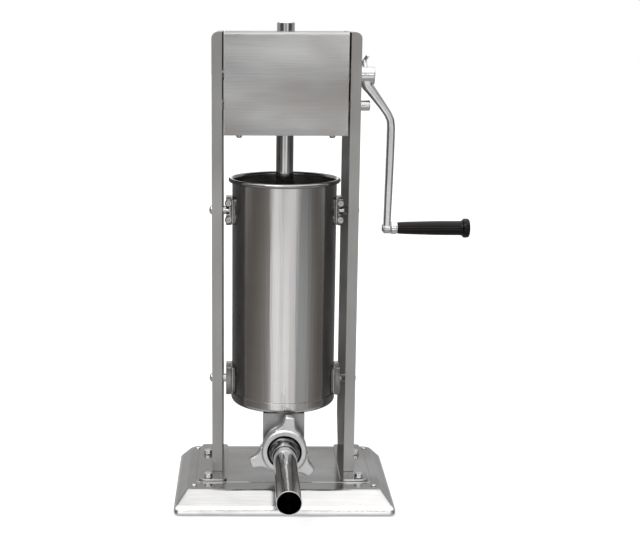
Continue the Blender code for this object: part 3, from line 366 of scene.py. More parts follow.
def make_finishes():
    upright, level = (900, 900, 14), (14, 900, 900)
    finishes = {
        "column": metal("column_steel", rgb(.34, .335, .33), rgb(.60, .597, .592), 0.50, 0.05, upright, 13,
                        rgb(.42, .40, .385), cloud_stretch=(0.6, 1, 0.6), brushed=0.75),
        "sheet": metal("sheet_steel", rgb(.225, .222, .220), rgb(.515, .513, .51), 0.36, 0.05, level, 15,
                       rgb(.30, .275, .26), cloud_stretch=(0.32, 1, 1), brushed=0.5, turn=0.25),
        "base": metal("base_steel", rgb(.37, .365, .36), rgb(.60, .598, .594), 0.15, 0.05, level, 14,
                      rgb(.44, .415, .395), cloud_stretch=(0.5, 1, 1), depth=0.00001),
        "cylinder": metal("cylinder_steel", rgb(.50, .49, .485), rgb(.585, .58, .575), 0.20, 0.035,
                          (6, 6, 1500), 14, rgb(.50, .475, .46), 0.000006, (1, 1, 0.25), brushed=0.55,
                          turn=0.25, wavy=(1.0, (260, 260, 7), 0.00018)),
        "inner": metal("piston_steel", rgb(.40, .40, .40), rgb(.52, .52, .52), 0.28, 0.04,
                       (300, 300, 40), 14),
        "bright": metal("ground_bar", rgb(.56, .555, .555), rgb(.64, .64, .64), 0.10, 0.03, upright, 22,
                        depth=0.000003),
        "bracket": metal("bracket_steel", rgb(.11, .105, .10), rgb(.30, .29, .285), 0.26, 0.06, level, 90,
                         rgb(.15, .13, .12), 0.00002, (1, 1, 0.4)),
        "crank": metal("crank_chrome", rgb(.56, .56, .565), rgb(.66, .66, .66), 0.24, 0.05, (160, 160, 160),
                       30, depth=0.000003),
        "zinc": metal("zinc_plate", rgb(.52, .525, .54), rgb(.66, .665, .67), 0.30, 0.06, (260, 260, 260), 60,
                      rgb(.60, .585, .53), 0.00001),
        "chrome": metal("chrome_plate", rgb(.66, .66, .67), rgb(.74, .74, .75), 0.09, 0.03, (40, 40, 40), 30,
                        depth=0.000003),
        "tube": metal("tube_chrome", rgb(.50, .49, .49), rgb(.60, .595, .59), 0.07, 0.025, level, 30,
                      depth=0.000002),
        "cast": metal("cast_aluminium", rgb(.56, .56, .565), rgb(.70, .70, .70), 0.40, 0.06,
                      (420, 420, 420), 40, depth=0.00004),
        "gear": metal("gear_steel", rgb(.20, .20, .205), rgb(.34, .335, .33), 0.36, 0.08, (140, 500, 500), 35,
                      rgb(.22, .17, .12), 0.00002),
        "bronze": metal("sintered_bronze", rgb(.42, .27, .13), rgb(.62, .44, .24), 0.42, 0.06,
                        (900, 900, 900), 70, depth=0.00003),
        "weld": metal("weld_bead", rgb(.42, .41, .40), rgb(.62, .61, .60), 0.34, 0.08, (300, 300, 500), 90,
                      rgb(.40, .36, .34), 0.00008),
    }
    # Painted highlight: below 12.5 mm the base's hem and lower skirt are turned pale, standing in for their
    # bright reflection.
    paint_light_and_shade(finishes["base"], "Z", 0.0140, 0.0125, rgb(.80, .80, .80), 60)
    # Painted shade: the cylinder's top 6 mm, its rolled rim bead, is darkened to dim the reflection on it.
    paint_light_and_shade(finishes["cylinder"], "Z", wall_high.z - 0.0068, wall_high.z - 0.0060, rgb(.33, .32, .315), 60)
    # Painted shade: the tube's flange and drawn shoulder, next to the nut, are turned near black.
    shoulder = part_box("stuffing_tube")[1].y
    paint_light_and_shade(finishes["tube"], "Y", shoulder - 0.026, shoulder - 0.021, rgb(.045, .042, .040), 160)
    rubber = Finish("moulded_rubber")
    specks = rubber.noise(700, detail=4.0)
    dust = rubber.noise(24)
    rubber.bump(specks, 0.00008)
    dusty = rubber.span(dust, 0.4, 0.75, 0, 1)
    rubber.set(Base_Color=rubber.mix(dusty, rgb(.012, .012, .012), rgb(.05, .048, .045)),
               Roughness=rubber.span(specks, 0.3, 0.7, 0.62, 0.82))
    silicone = Finish("white_silicone")
    specks = silicone.noise(500)
    silicone.bump(specks, 0.00003)
    silicone.set(Base_Color=silicone.mix(silicone.noise(30), rgb(.66, .65, .60), rgb(.78, .77, .73)),
                 Roughness=silicone.span(specks, 0.3, 0.7, 0.42, 0.60))
    plastic = Finish("grip_plastic")
    flow = plastic.noise(26, (0.25, 1, 1), 4.0)
    scuffs = plastic.noise(300, (0.12, 1, 1), 3.0)
    plastic.bump(plastic.maths("ADD", flow, scuffs), 0.000004)
    worn = plastic.span(flow, 0.42, 0.70, 0, 1)
    plastic.set(Base_Color=plastic.mix(worn, rgb(.0025, .0022, .0020), rgb(.009, .0065, .0055)),
                Roughness=plastic.span(scuffs, 0.35, 0.75, 0.045, 0.10), Specular_IOR_Level=0.18)
    finishes.update(rubber=rubber, silicone=silicone, plastic=plastic)
    return {key: made.material for key, made in finishes.items()}


# ---------------------------------------------------------------- base
def base_shell(finish):
    """The pressed pan: an upright hem, a sloped skirt, a rolled shoulder and a creased top."""
    low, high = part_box("base_pan")
    middle_x, middle_y = (low.x + high.x) / 2, (low.y + high.y) / 2
    half_x, half_y = (high.x - low.x) / 2, (high.y - low.y) / 2
    skirt_x, skirt_front, skirt_rear = 0.0176, 0.022, 0.020
    hem, height, corner = 0.006, high.z - low.z, 0.008

    def ring(share, z, inset):
        """share runs from 0 at the rim to 1 at the top's edge."""
        x = half_x - skirt_x * share - inset
        front = -half_y + skirt_front * share + inset
        rear = half_y - skirt_rear * share - inset
        outline = rounded_rectangle(-x, x, front, rear, max(corner - inset * 0.5, 0.002), 8)
        return [Vector((middle_x + a, middle_y + b, low.z + z)) for a, b in outline]

    def levels(inset):
        hem_z = hem - inset * 0.5
        top_z = height - inset
        skirt_foot, skirt_top = 0.045, 0.82
        slope = (top_z - 0.0036 - hem_z - 0.0012) / (skirt_top - skirt_foot)
        rows = [(0, 0.0004), (0, hem_z - 0.0012), (0.010, hem_z - 0.0002), (skirt_foot, hem_z + 0.0012)]
        rows += [(s, hem_z + 0.0012 + slope * (s - skirt_foot)) for s in (0.3, 0.6, skirt_top)]
        rows += [(0.89, top_z - 0.0021), (0.96, top_z - 0.0010), (1.04, top_z - 0.0003), (1.13, top_z)]
        return [ring(share, z, inset) for share, z in rows]

    outside = [ring(0.006, 0.0, 0.0)] + levels(0)
    inside = levels(SHEET)[::-1] + [ring(0.006, 0.0, SHEET)]
    shell = skin(inside + outside)
    holes = bmesh.new()
    for kind, hole_r in (("base_bolt", 0.0035), ("rubber_foot", 0.0026)):
        for corner_name in CORNERS:
            place = upright_through(f"{kind}_{corner_name}")
            rod(hole_r, place, high.z - 0.006, high.z + 0.004, 24, mesh=holes)
    piece("base_shell", shell, "frame", finish, ("base_pan",), [(holes, "DIFFERENCE")])

    reach, front, rear, rise, sunk = half_x - 0.0265, 0.049, 0.030, 0.0004, -0.0003
    ridge = []
    for out, up in ((0.0, sunk), (0.0006, rise * 0.8), (0.0011, rise), (0.0016, rise * 0.8), (0.0022, sunk)):
        outline = rounded_rectangle(-reach + out, reach - out, -half_y + front + out, half_y - rear - out,
                                    0.009 - out, 8)
        ridge.append([Vector((middle_x + a, middle_y + b, high.z + up)) for a, b in outline])
    piece("pressed_line", skin(ridge, closed=True), "frame", finish)


def cross_screw(name, place, head_r, seat, top, shank_r, end, finish, stands_for=()):
    """A pan-head screw with a cross recess; its axis is the frame's own Z."""
    rise = top - seat
    sign = math.copysign(1, rise)
    profile = [(0, top), (head_r * 0.55, top), (head_r * 0.86, seat + rise * 0.72),
               (head_r, seat + rise * 0.35), (head_r, seat), (shank_r, seat), (shank_r, end), (0, end)]
    low, high = sorted((top - rise * 0.55, top + sign * 0.001))
    wide, thin = head_r * 0.62, head_r * 0.13
    slots = [prism([(-a, -b), (a, -b), (a, b), (-a, b)], place, low, high)
             for a, b in ((wide, thin), (thin, wide))]
    piece(name, lathe(eased(profile, 0.0004, 3), place, 32), "frame", finish,
          stands_for, [(slot, "DIFFERENCE") for slot in slots])


def hardware(zinc):
    """Foot screws, the rear and back screws of the gearbox, and the nuts under the pan."""
    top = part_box("base_pan")[1].z
    under = top - SHEET - GAP
    nut_flats, washer_r, hole_r = 0.010, 0.0062, 0.0034
    for corner_name in CORNERS:
        cross_screw(f"foot_screw_{corner_name}", upright_through(f"rubber_foot_{corner_name}"), 0.0036,
                    top + 0.0002, top + 0.0020, 0.0021, top - 0.012, zinc)
        place = upright_through(f"base_bolt_{corner_name}")
        washer = lathe(eased([(hole_r, under), (washer_r, under), (washer_r, under - 0.0010),
                              (hole_r, under - 0.0010)], 0.0002), place, 40)
        piece(f"pan_washer_{corner_name}", washer, "frame", zinc)
        nut = prism(circle(nut_flats / math.sqrt(3), 6), place, under - 0.0063, under - 0.0013)
        made = piece(f"pan_nut_{corner_name}", nut, "frame", zinc, (),
                     [(rod(0.0032, place, under - 0.02, under + 0.01, 32), "DIFFERENCE")])
        rounded(made, 0.0003, 3)
    cover_low, cover_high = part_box("gearbox_cover")
    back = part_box("gearbox_back")[1].y
    bottom, head_r, shank_r = cover_low.z, 0.0042, 0.002
    for _, side in SIDES:
        low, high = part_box(f"cover_screw_{side}")
        x = (low.x + high.x) / 2
        under_screws = ((f"cover_screw_{side}_head", (low.y + high.y) / 2, (f"cover_screw_{side}",)),
                        (f"rear_screw_{side}", back - 0.010, ()))
        for name, y, stands_for in under_screws:
            cross_screw(name, along_z(x, y), head_r, bottom - GAP, bottom - 0.0039, shank_r, high.z, zinc,
                        stands_for)
        cross_screw(f"back_screw_{side}", along_y(x, cover_high.z - 0.008), head_r, back + GAP,
                    back + 0.0032, shank_r, back - 0.008, zinc)


def feet(rubber):
    """Tapered rubber pads with a neck up to the pan."""
    for corner_name in CORNERS:
        node = f"rubber_foot_{corner_name}"
        low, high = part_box(node)
        profile = [(0, low.z), (0.0098, low.z), (0.0105, low.z + 0.0012), (0.0102, 0.0072),
                   (0.0055, high.z), (0.0026, high.z), (0.0026, 0.011), (0, 0.011)]
        piece(node + "_pad", lathe(eased(profile, 0.0006), upright_through(node), 48), "frame", rubber,
              (node,))


# ---------------------------------------------------------------- cylinder
def cylinder(steel, weld):
    """The wall with its rolled rim, the drawn end with its outlet, and the brackets' weld beads."""
    place = along_z(AXIS_X, AXIS_Y)
    inside, outside = 0.070, CYLINDER_R
    bead_reach = wall_high.x - AXIS_X
    bead_r = (bead_reach - inside - 0.0006) / 2
    bead_middle, bead_z = bead_reach - bead_r, wall_high.z - bead_r
    bead = [(bead_middle + bead_r * math.cos(math.radians(a)), bead_z + bead_r * math.sin(math.radians(a)))
            for a in range(150, -106, -12)]
    profile = [(inside, wall_low.z), (inside, bead_z - 0.0012), (inside + 0.0003, bead_z + 0.0004)] + bead + \
              [(outside, bead_z - bead_r * 1.06), (outside, wall_low.z)]
    piece("cylinder_shell", lathe(profile, place, 160), "frame", steel, ("cylinder_wall",))

    reach = cup_high.x - AXIS_X
    corner = 0.006
    turn = [math.radians(a) for a in range(0, 91, 10)]
    outer = [(reach - corner * (1 - math.sin(a)), cup_low.z + corner * (1 - math.cos(a))) for a in turn]
    lip = outside + GAP
    profile = [(0, cup_low.z), *outer, (reach, cup_high.z - 0.0005), (reach - 0.0003, cup_high.z),
               (lip + 0.0002, cup_high.z), (lip, cup_high.z - 0.0003), (lip, cup_low.z + corner),
               (reach - corner * 0.8, cup_low.z + SHEET), (0, cup_low.z + SHEET)]
    opening = prism(rounded_rectangle(-0.022, 0.022, -0.016, 0.016, 0.008), place,
                    cup_low.z - 0.005, cup_low.z + 0.005)
    piece("cylinder_end", lathe(profile, place, 160), "frame", steel, ("cylinder_cup",),
          [(opening, "DIFFERENCE")])

    for level in ("upper", "lower"):
        for sign, side in SIDES:
            low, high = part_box(f"{level}_{side}_bracket")
            for end, y in (("front", low.y), ("rear", high.y)):
                away = y - AXIS_Y
                x = math.sqrt(outside ** 2 - away ** 2)
                foot = Vector((AXIS_X + sign * (x + 0.0012), y + math.copysign(0.0004, away), 0))
                bead_line(f"{level}_{side}_weld_{end}", foot, low.z + 0.002, high.z - 0.002, 0.0017, weld)


def saddles(dark, light):
    """Behind each bracket a pad fills in to the cylinder's curve; the upper ones have two bosses."""
    for level in ("upper", "lower"):
        for sign, side in SIDES:
            low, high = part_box(f"{level}_{side}_bracket")
            inner = (high.x if sign < 0 else low.x) + sign * 0.0006
            front, rear = low.y + 0.0009, high.y - 0.0009
            steps = [front + (rear - front) * i / 16 for i in range(17)]
            outline = [(AXIS_X + sign * (math.sqrt(CYLINDER_R ** 2 - (y - AXIS_Y) ** 2) - 0.0006), y)
                       for y in steps] + [(inner, rear), (inner, front)]
            piece(f"{level}_{side}_pad", prism(outline, along_z(0, 0), low.z + 0.0010, high.z - 0.0010),
                  "frame", dark)
            bosses = (("top", high.z - 0.0075), ("foot", low.z + 0.0075)) if level == "upper" else ()
            for end, z in bosses:
                place = along_y((low.x + high.x) / 2, z)
                nose = low.y - 0.0016
                profile = [(0, low.y + 0.004), (0.0050, low.y + 0.004), (0.0050, nose + 0.0012),
                           (0.0038, nose), (0.0018, nose), (0.0014, nose + 0.0006), (0, nose + 0.0006)]
                piece(f"{level}_{side}_rivet_{end}", lathe(eased(profile, 0.0003, 2), place, 40), "frame",
                      light)


def bead_line(name, foot, low, high, radius, finish):
    """An upright weld bead of overlapping scales, with blunt round ends."""
    rings, steps, scales, around = [], 44, 11, 14
    for i in range(steps + 1):
        share = i / steps
        z = low + (high - low) * share
        swell = 0.86 + 0.14 * abs(math.sin(share * math.pi * scales))
        end = math.sqrt(max(0.04, 1 - (2 * share - 1) ** 8))
        r = radius * swell * end
        rings.append([foot + Vector((r * math.cos(a), r * math.sin(a), z))
                      for a in (2 * math.pi * k / around for k in range(around))])
    piece(name, skin(rings), "frame", finish)


def bead_ring(name, place, radius, height, thickness, finish, scales):
    """A round weld bead about the frame's Z."""
    count, around = scales * 5, 12
    rings = []
    for i in range(count):
        angle = 2 * math.pi * i / count
        r = thickness * (0.84 + 0.16 * abs(math.sin(angle * scales / 2)))
        ring = []
        for k in range(around):
            turn = 2 * math.pi * k / around
            out = radius + r * math.cos(turn)
            ring.append(place @ Vector((out * math.cos(angle), out * math.sin(angle),
                                        height + r * math.sin(turn))))
        rings.append(ring)
    piece(name, skin(rings, closed=True), "frame", finish)


def pins(steel):
    """Pins with a collar inside the column's sheet and a domed head outside it."""
    dome_height, column_sheet = 0.0045, 0.002
    for level in ("upper", "lower"):
        for sign, side in SIDES:
            node = f"{level}_{side}_pin"
            low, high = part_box(node)
            start = (high.x if sign < 0 else low.x) * sign
            tip = (low.x if sign < 0 else high.x) * sign
            head = tip - dome_height
            web = head - GAP - column_sheet - GAP
            dome = [(0.0062 * math.cos(math.radians(a)), head + 0.0007 + 0.0038 * math.sin(math.radians(a)))
                    for a in range(0, 90, 10)]
            profile = [(0, start), (0.0053, start), (0.006, start + 0.0007), (0.006, web - 0.004),
                       (0.0079, web - 0.004), (0.0085, web - 0.0034), (0.0085, web), (0.0045, web),
                       (0.0045, head), (0.0060, head), (0.0062, head + 0.0002), *dome, (0, tip)]
            place = along_x((low.y + high.y) / 2, (low.z + high.z) / 2)
            piece(f"{node}_turned", lathe([(r, sign * x) for r, x in profile], place, 48), "frame", steel,
                  (node,))


# ---------------------------------------------------------------- outlet
def outlet(steel, weld):
    """The threaded pipe that carries the nut, and the weld round its root."""
    place = along_y(AXIS_X, OUTLET_Z)
    back, front = pipe_high.y, pipe_low.y
    outside, inside = (pipe_high.x - pipe_low.x) / 2, 0.022
    pitch, depth, segments, steps = 0.0035, 0.0009, 96, 72

    def thread(angle, y):
        """Crests at the pipe's full radius, running round it; plain for the first 3 mm."""
        run_in = min(1.0, max(0.0, (back - 0.003 - y) / 0.002))
        phase = (y / pitch - angle / (2 * math.pi)) % 1.0
        return outside - depth * run_in * (0.5 - 0.5 * math.cos(2 * math.pi * phase))

    rings = []
    for i in range(steps + 1):
        y = back + (front - back) * i / steps
        rings.append([place @ Vector((thread(a, y) * math.cos(a), thread(a, y) * math.sin(a), y))
                      for a in (2 * math.pi * k / segments for k in range(segments))])
    for y in (front, back):
        rings.append([place @ Vector((a, b, y)) for a, b in circle(inside, segments)])
    piece("threaded_pipe", skin(rings, closed=True), "frame", steel, ("outlet_pipe",))
    bead_ring("pipe_weld", place, outside + 0.0006, back + 0.0001, 0.0015, weld, 52)


def nozzle(tube_finish, gasket_finish, cast):
    """The flanged stuffing tube with its gasket, and the nut that holds it."""
    place = along_y(AXIS_X, OUTLET_Z)
    tube_low, tube_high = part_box("stuffing_tube")
    back = tube_high.y
    flange_front = back - 0.0025
    tube_r, wall, cone_r = 0.0158, 0.0011, 0.0225
    flange_r = (tube_high.x - tube_low.x) / 2
    cone_end = flange_front - 0.0242
    bore_r = tube_r - wall

    def cone(t, inset):
        """The drawn shoulder between flange and tube, an S curve."""
        ease = t * t * (3 - 2 * t)
        return (cone_r + (tube_r - cone_r) * ease - inset,
                flange_front - 0.001 + (cone_end - flange_front) * t)

    outer = [cone(i / 24, 0) for i in range(25)]
    inner = [cone(i / 24, wall) for i in range(25)][::-1]
    tip = tube_low.y
    profile = [(cone_r - wall - 0.0004, back), (flange_r - 0.0004, back), (flange_r, back - 0.0004),
               (flange_r, flange_front + 0.0004), (flange_r - 0.0004, flange_front), *outer,
               (tube_r, tip + 0.0004), (tube_r - 0.0003, tip), (bore_r + 0.0003, tip), (bore_r, tip + 0.0004),
               *inner]
    piece("chromed_tube", lathe(profile, place, 128), "nozzle", tube_finish, ("stuffing_tube",))
    soften("tube_gasket", gasket_finish, 0.0002)

    nut_low, nut_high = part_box("wing_nut")
    wing_nut(place, nut_low.y, nut_high.y, flange_front - GAP, cast)


def wing_nut(place, front, rear, lip_back, cast):
    """A cast ring with three lugs that grow out of it in hollow curves."""
    ring_r, hole, bore_r, lug_reach, first_lug = 0.0304, 0.0230, 0.0265, 0.0484, 81
    profile = [(hole - 0.001, front), (ring_r - 0.0016, front), (ring_r, front + 0.0016),
               (ring_r, rear - 0.0012), (ring_r - 0.0012, rear), (hole - 0.001, rear)]
    flank = [(ring_r - 0.004, 0.0190), (ring_r - 0.0022, 0.0162), (ring_r + 0.0006, 0.0130),
             (ring_r + 0.0035, 0.0105), (ring_r + 0.0080, 0.0086), (lug_reach - 0.0035, 0.0074),
             (lug_reach - 0.0006, 0.0064), (lug_reach + 0.0004, 0.0034)]
    lugs = []
    for n in range(3):
        angle = math.radians(first_lug + 120 * n)
        rings = []
        for y, shrink in ((front + 0.0020, 0.0014), (front + 0.0026, 0.0004), (front + 0.0040, 0.0),
                          (rear - 0.0060, 0.0), (rear - 0.0046, 0.0006), (rear - 0.0040, 0.0018)):
            half = [(r - shrink * (r - ring_r) / (lug_reach - ring_r), w - shrink) for r, w in flank]
            outline = half + [(r, -w) for r, w in reversed(half)]
            rings.append([place @ Vector((r * math.sin(angle) + w * math.cos(angle),
                                          r * math.cos(angle) - w * math.sin(angle), y)) for r, w in outline])
        lugs.append((skin(rings), "UNION"))
    made = piece("cast_wing_nut", lathe(profile, place, 128), "wing_nut", cast,
                 ("wing_nut",), lugs)
    cast_over(made, 0.0006, 5)
    bore = [(0, front - 0.01), (hole + 0.0006, front - 0.01), (hole + 0.0006, front), (hole, front + 0.0007),
            (hole, lip_back), (bore_r, lip_back), (bore_r, rear + 0.01), (0, rear + 0.01)]
    boolean(made, lathe(bore, place, 128), "DIFFERENCE")
    dress(made, cast, 40)


def cast_over(made, voxel, rounds):
    """Melts a piece's joined solids into one rounded skin."""
    made.modifiers.clear()
    remesh = made.modifiers.new("remesh", "REMESH")
    remesh.mode = "VOXEL"
    remesh.voxel_size = voxel
    soft = made.modifiers.new("soft", "SMOOTH")
    soft.iterations = rounds
    soft.factor = 0.5
    applied(made)


# ---------------------------------------------------------------- rack
def rack(bright):
    """The round bar with its teeth cut in one side, in step with the pinion's, and the piston's stud."""
    node_low, node_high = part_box("rack")
    place = along_z(AXIS_X, AXIS_Y)
    bar_r, module, pinion_teeth = 0.012, 0.002, 14
    stud_r, shoulder = 0.005, 0.1533
    profile = [(0, node_low.z), (stud_r - 0.0005, node_low.z), (stud_r, node_low.z + 0.0005),
               (stud_r, shoulder), (bar_r - 0.0006, shoulder), (bar_r, shoulder + 0.0006),
               (bar_r, node_high.z - 0.001), (bar_r - 0.001, node_high.z), (0, node_high.z)]
    pitch_y = SHAFT_Y - module * pinion_teeth / 2
    pitch = math.pi * module
    tip_y, root_y = pitch_y + module, pitch_y - 1.25 * module
    slope = math.tan(math.radians(25))
    half_gap = pitch / 4 + 0.00005
    wide, narrow = half_gap + module * slope, half_gap - 1.25 * module * slope
    low, high = 0.207, 0.559
    first = -math.floor((LOWER_SHAFT_Z - low) / pitch)
    last = math.floor((high - LOWER_SHAFT_Z) / pitch)
    outline = [(AXIS_Y + 0.016, low - 0.003), (tip_y, low - 0.003)]
    for n in range(first, last + 1):
        middle = LOWER_SHAFT_Z + n * pitch
        outline += [(tip_y, middle - wide), (root_y, middle - narrow),
                    (root_y, middle + narrow), (tip_y, middle + wide)]
    outline += [(tip_y, high + 0.003), (AXIS_Y + 0.016, high + 0.003)]
    comb = prism(outline, along_x(0, 0), AXIS_X - 0.014, AXIS_X + 0.014)
    piece("toothed_bar", lathe(profile, place, 64), "rack", bright, ("rack",),
          [(comb, "DIFFERENCE")])


# ---------------------------------------------------------------- crank
def crank(satin, chrome, plastic):
    """The forged arm with its hub and boss, the T screw, the spindle, and the turning grip."""
    hub = along_x(SHAFT_Y, UPPER_SHAFT_Z)
    boss = along_x(GRIP_Y, GRIP_Z)
    arm_low, arm_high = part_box("crank_arm")
    hub_inside = arm_low.x
    hub_outside = hub_inside + 0.0217
    hub_r = arm_high.z - UPPER_SHAFT_Z
    ferrule_low, ferrule_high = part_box("grip_ferrule")
    boss_outside = ferrule_low.x - GAP
    boss_inside = boss_outside - 0.010
    x0 = hub_inside - 0.1003
    stations = (  # each is X from x0, drop below the shaft, thickness and width
        (0.1112, 0.0020, 0.0205, 0.0200), (0.1110, 0.0090, 0.0190, 0.0194), (0.1130, 0.0145, 0.0150, 0.0188),
        (0.1176, 0.0200, 0.0138, 0.0184), (0.1327, 0.0397, 0.0112, 0.0176), (0.1410, 0.0515, 0.0104, 0.0170),
        (0.1450, 0.0600, 0.0106, 0.0168), (0.1460, 0.0700, 0.0111, 0.0165), (0.1457, 0.1050, 0.0111, 0.0160),
        (0.1448, 0.1560, 0.0106, 0.0152), (0.1438, 0.2060, 0.0098, 0.0145))
    rings = []
    for i, (x, drop, thick, wide) in enumerate(stations):
        before, after = stations[max(i - 1, 0)], stations[min(i + 1, len(stations) - 1)]
        lean = math.atan2(after[0] - before[0], after[1] - before[1])
        across = Vector((math.cos(lean), 0, math.sin(lean)))
        middle = Vector((x + x0, SHAFT_Y, UPPER_SHAFT_Z - drop))
        outline = rounded_rectangle(-thick / 2, thick / 2, -wide / 2, wide / 2, thick * 0.34, 4)
        rings.append([middle + across * a + Vector((0, b, 0)) for a, b in outline])
    mesh = rod(hub_r - 0.0001, hub, hub_inside, hub_outside, 64, 0.001)
    boss_mesh = rod(0.0079, boss, boss_inside, boss_outside, 48, 0.0007)
    made = piece("crank_forging", mesh, "crank", satin, ("crank_arm",),
                 [(skin(rings), "UNION"), (boss_mesh, "UNION")])
    cast_over(made, 0.00065, 7)
    boolean(made, rod(SHAFT_R + 0.0002, hub, hub_inside - 0.005, hub_outside + 0.005, 48), "DIFFERENCE")
    boolean(made, rod(0.0043, boss, boss_inside - 0.005, boss_outside + 0.005, 32), "DIFFERENCE")
    lean = math.radians(45)
    out = Vector((0, math.sin(lean), math.cos(lean)))
    tangent = Vector((0, math.cos(lean), -math.sin(lean)))
    side = Vector((1, 0, 0))
    foot = Vector((0.110 + x0, SHAFT_Y, UPPER_SHAFT_Z))
    radial = Matrix.Translation(foot) @ Matrix((side, tangent, out)).transposed().to_4x4()
    boolean(made, rod(0.0034, radial, SHAFT_R, hub_r + 0.006, 24), "DIFFERENCE")
    dress(made, satin, 40)

    screw_top, screw_r, bar_r, bar_half = 0.0285, 0.0030, 0.0025, 0.0104
    swing = math.radians(68)
    bar_axis = side * math.cos(swing) - tangent * math.sin(swing)
    third = bar_axis.cross(out)
    bar = Matrix.Translation(foot + out * screw_top) @ Matrix((out, third, bar_axis)).transposed().to_4x4()
    stem = lathe(eased([(0, SHAFT_R + 0.0006), (0.0024, SHAFT_R + 0.0006), (screw_r, SHAFT_R + 0.0014),
                        (screw_r, screw_top), (0, screw_top)], 0.0002), radial, 32)
    piece("tee_screw", stem, "crank_screw", chrome, ("crank_screw",),
          [(rod(bar_r, bar, -bar_half, bar_half, 32, 0.0006), "UNION")])

    low, high = spindle_low.x, spindle_high.x
    spindle_r, head_r, head_end = 0.004, 0.0055, boss_inside - GAP
    profile = [(0, low), (0.0040, low), (0.0050, low + 0.0006), (head_r, low + 0.0014), (head_r, head_end),
               (spindle_r, head_end), (spindle_r, high), (0, high)]
    piece("riveted_spindle", lathe(profile, boss, 40), "crank", satin, ("grip_spindle",))

    low, high = ferrule_low.x, ferrule_high.x
    hole, reach = spindle_r + 0.00013, ferrule_high.z - GRIP_Z
    profile = [(hole, low), (reach - 0.0006, low), (reach, low + 0.0006), (reach, high - 0.0022),
               (reach - 0.0008, high - 0.0016), (reach - 0.0008, high), (hole, high)]
    mesh = lathe(eased(profile, 0.0003), boss, 64)
    piece("ferrule_ring", mesh, "grip", chrome, ("grip_ferrule",))

    start, end = (corner.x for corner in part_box("crank_grip"))
    hole_end = end - 0.0086 + GAP
    profile = [(hole, start), (0.0076, start), (0.0083, start + 0.002), (0.0087, start + 0.010),
               (0.0093, start + 0.030), (0.0098, start + 0.048), (0.0100, start + 0.062),
               (0.01005, start + 0.075), (0.0101, end - 0.0148), (0.01015, end - 0.0120),
               (0.0108, end - 0.0102), (0.0124, end - 0.0091), (0.0133, end - 0.0080),
               (0.01355, end - 0.0060), (0.01345, end - 0.0030), (0.0128, end - 0.0010), (0.0112, end),
               (0.0060, end - 0.0002), (0.0054, end - 0.0010), (0, end - 0.0010), (0, hole_end),
               (hole, hole_end)]
    piece("grip_moulding", lathe(profile, boss, 72), "grip", plastic, ("crank_grip",))


# ---------------------------------------------------------------- kept CAD nodes
def keep_nodes(finish):
    """Gives the CAD nodes that stay their finish, and edges rounded to a width in metres."""
    quarters = [f"{level}_{side}" for level in ("upper", "lower") for _, side in SIDES]
    kept = (
        ("column", 0.0004, ("left_column", "right_column")),
        ("sheet", 0.0003, ("gearbox_cover", "gearbox_back", "gearbox_floor")),
        ("sheet", 0.0007, ("outlet_duct",)),
        ("base", 0.0003, ("left_foot_plate", "right_foot_plate")),
        ("zinc", 0.0004, [f"base_bolt_{corner_name}" for corner_name in CORNERS]),
        ("zinc", 0.0004, ("left_bearing_plate", "right_bearing_plate")),
        ("bracket", 0.0012, [f"{quarter}_bracket" for quarter in quarters]),
        ("bronze", 0.0003, [f"{quarter}_bush" for quarter in quarters]),
        ("bronze", 0.0003, ("rack_top_bush", "rack_floor_bush")),
        ("inner", 0.0003, ("piston_plate", "piston_nut")),
        ("silicone", 0.0002, ("piston_seal",)),
        ("crank", 0.0005, ("gear_shaft", "crank_shaft")),
        ("bright", 0.0003, ("air_valve",)),
        ("gear", 0.0002, ("large_gear", "rack_pinion")),
        ("bright", 0.0002, ("large_gear_key", "rack_pinion_key")),
    )
    for key, width, nodes in kept:
        for node in nodes:
            soften(node, finish[key], width)


# ---------------------------------------------------------------- studio
def camera():
    """A long lens in front, a little above the gearbox and looking down."""
    pitch, yaw, roll = (math.radians(a) for a in (11.40, 0.23, 0.20))
    forward = Vector((math.sin(yaw) * math.cos(pitch), math.cos(yaw) * math.cos(pitch), -math.sin(pitch)))
    level = Vector((math.cos(yaw), -math.sin(yaw), 0))
    up = level.cross(forward)
    x = level * math.cos(roll) + up * math.sin(roll)
    y = up * math.cos(roll) - level * math.sin(roll)
    eye = Matrix.Translation((-0.11013, -1.60658, 0.65476))
    made = bpy.data.objects.new("camera", bpy.data.cameras.new("camera"))
    made.matrix_world = eye @ Matrix((x, y, -forward)).transposed().to_4x4()
    made.data.lens = 70.3
    made.data.shift_x = 0.1111
    bpy.context.scene.collection.objects.link(made)
    bpy.context.scene.camera = made


def area_light(name, place, aim, side, power):
    data = bpy.data.lights.new(name, "AREA")
    data.shape = "RECTANGLE"
    data.size = data.size_y = side
    data.energy = power
    made = bpy.data.objects.new(name, data)
    made.location = place
    made.rotation_euler = (Vector(aim) - Vector(place)).to_track_quat("-Z", "Y").to_euler()
    bpy.context.scene.collection.objects.link(made)


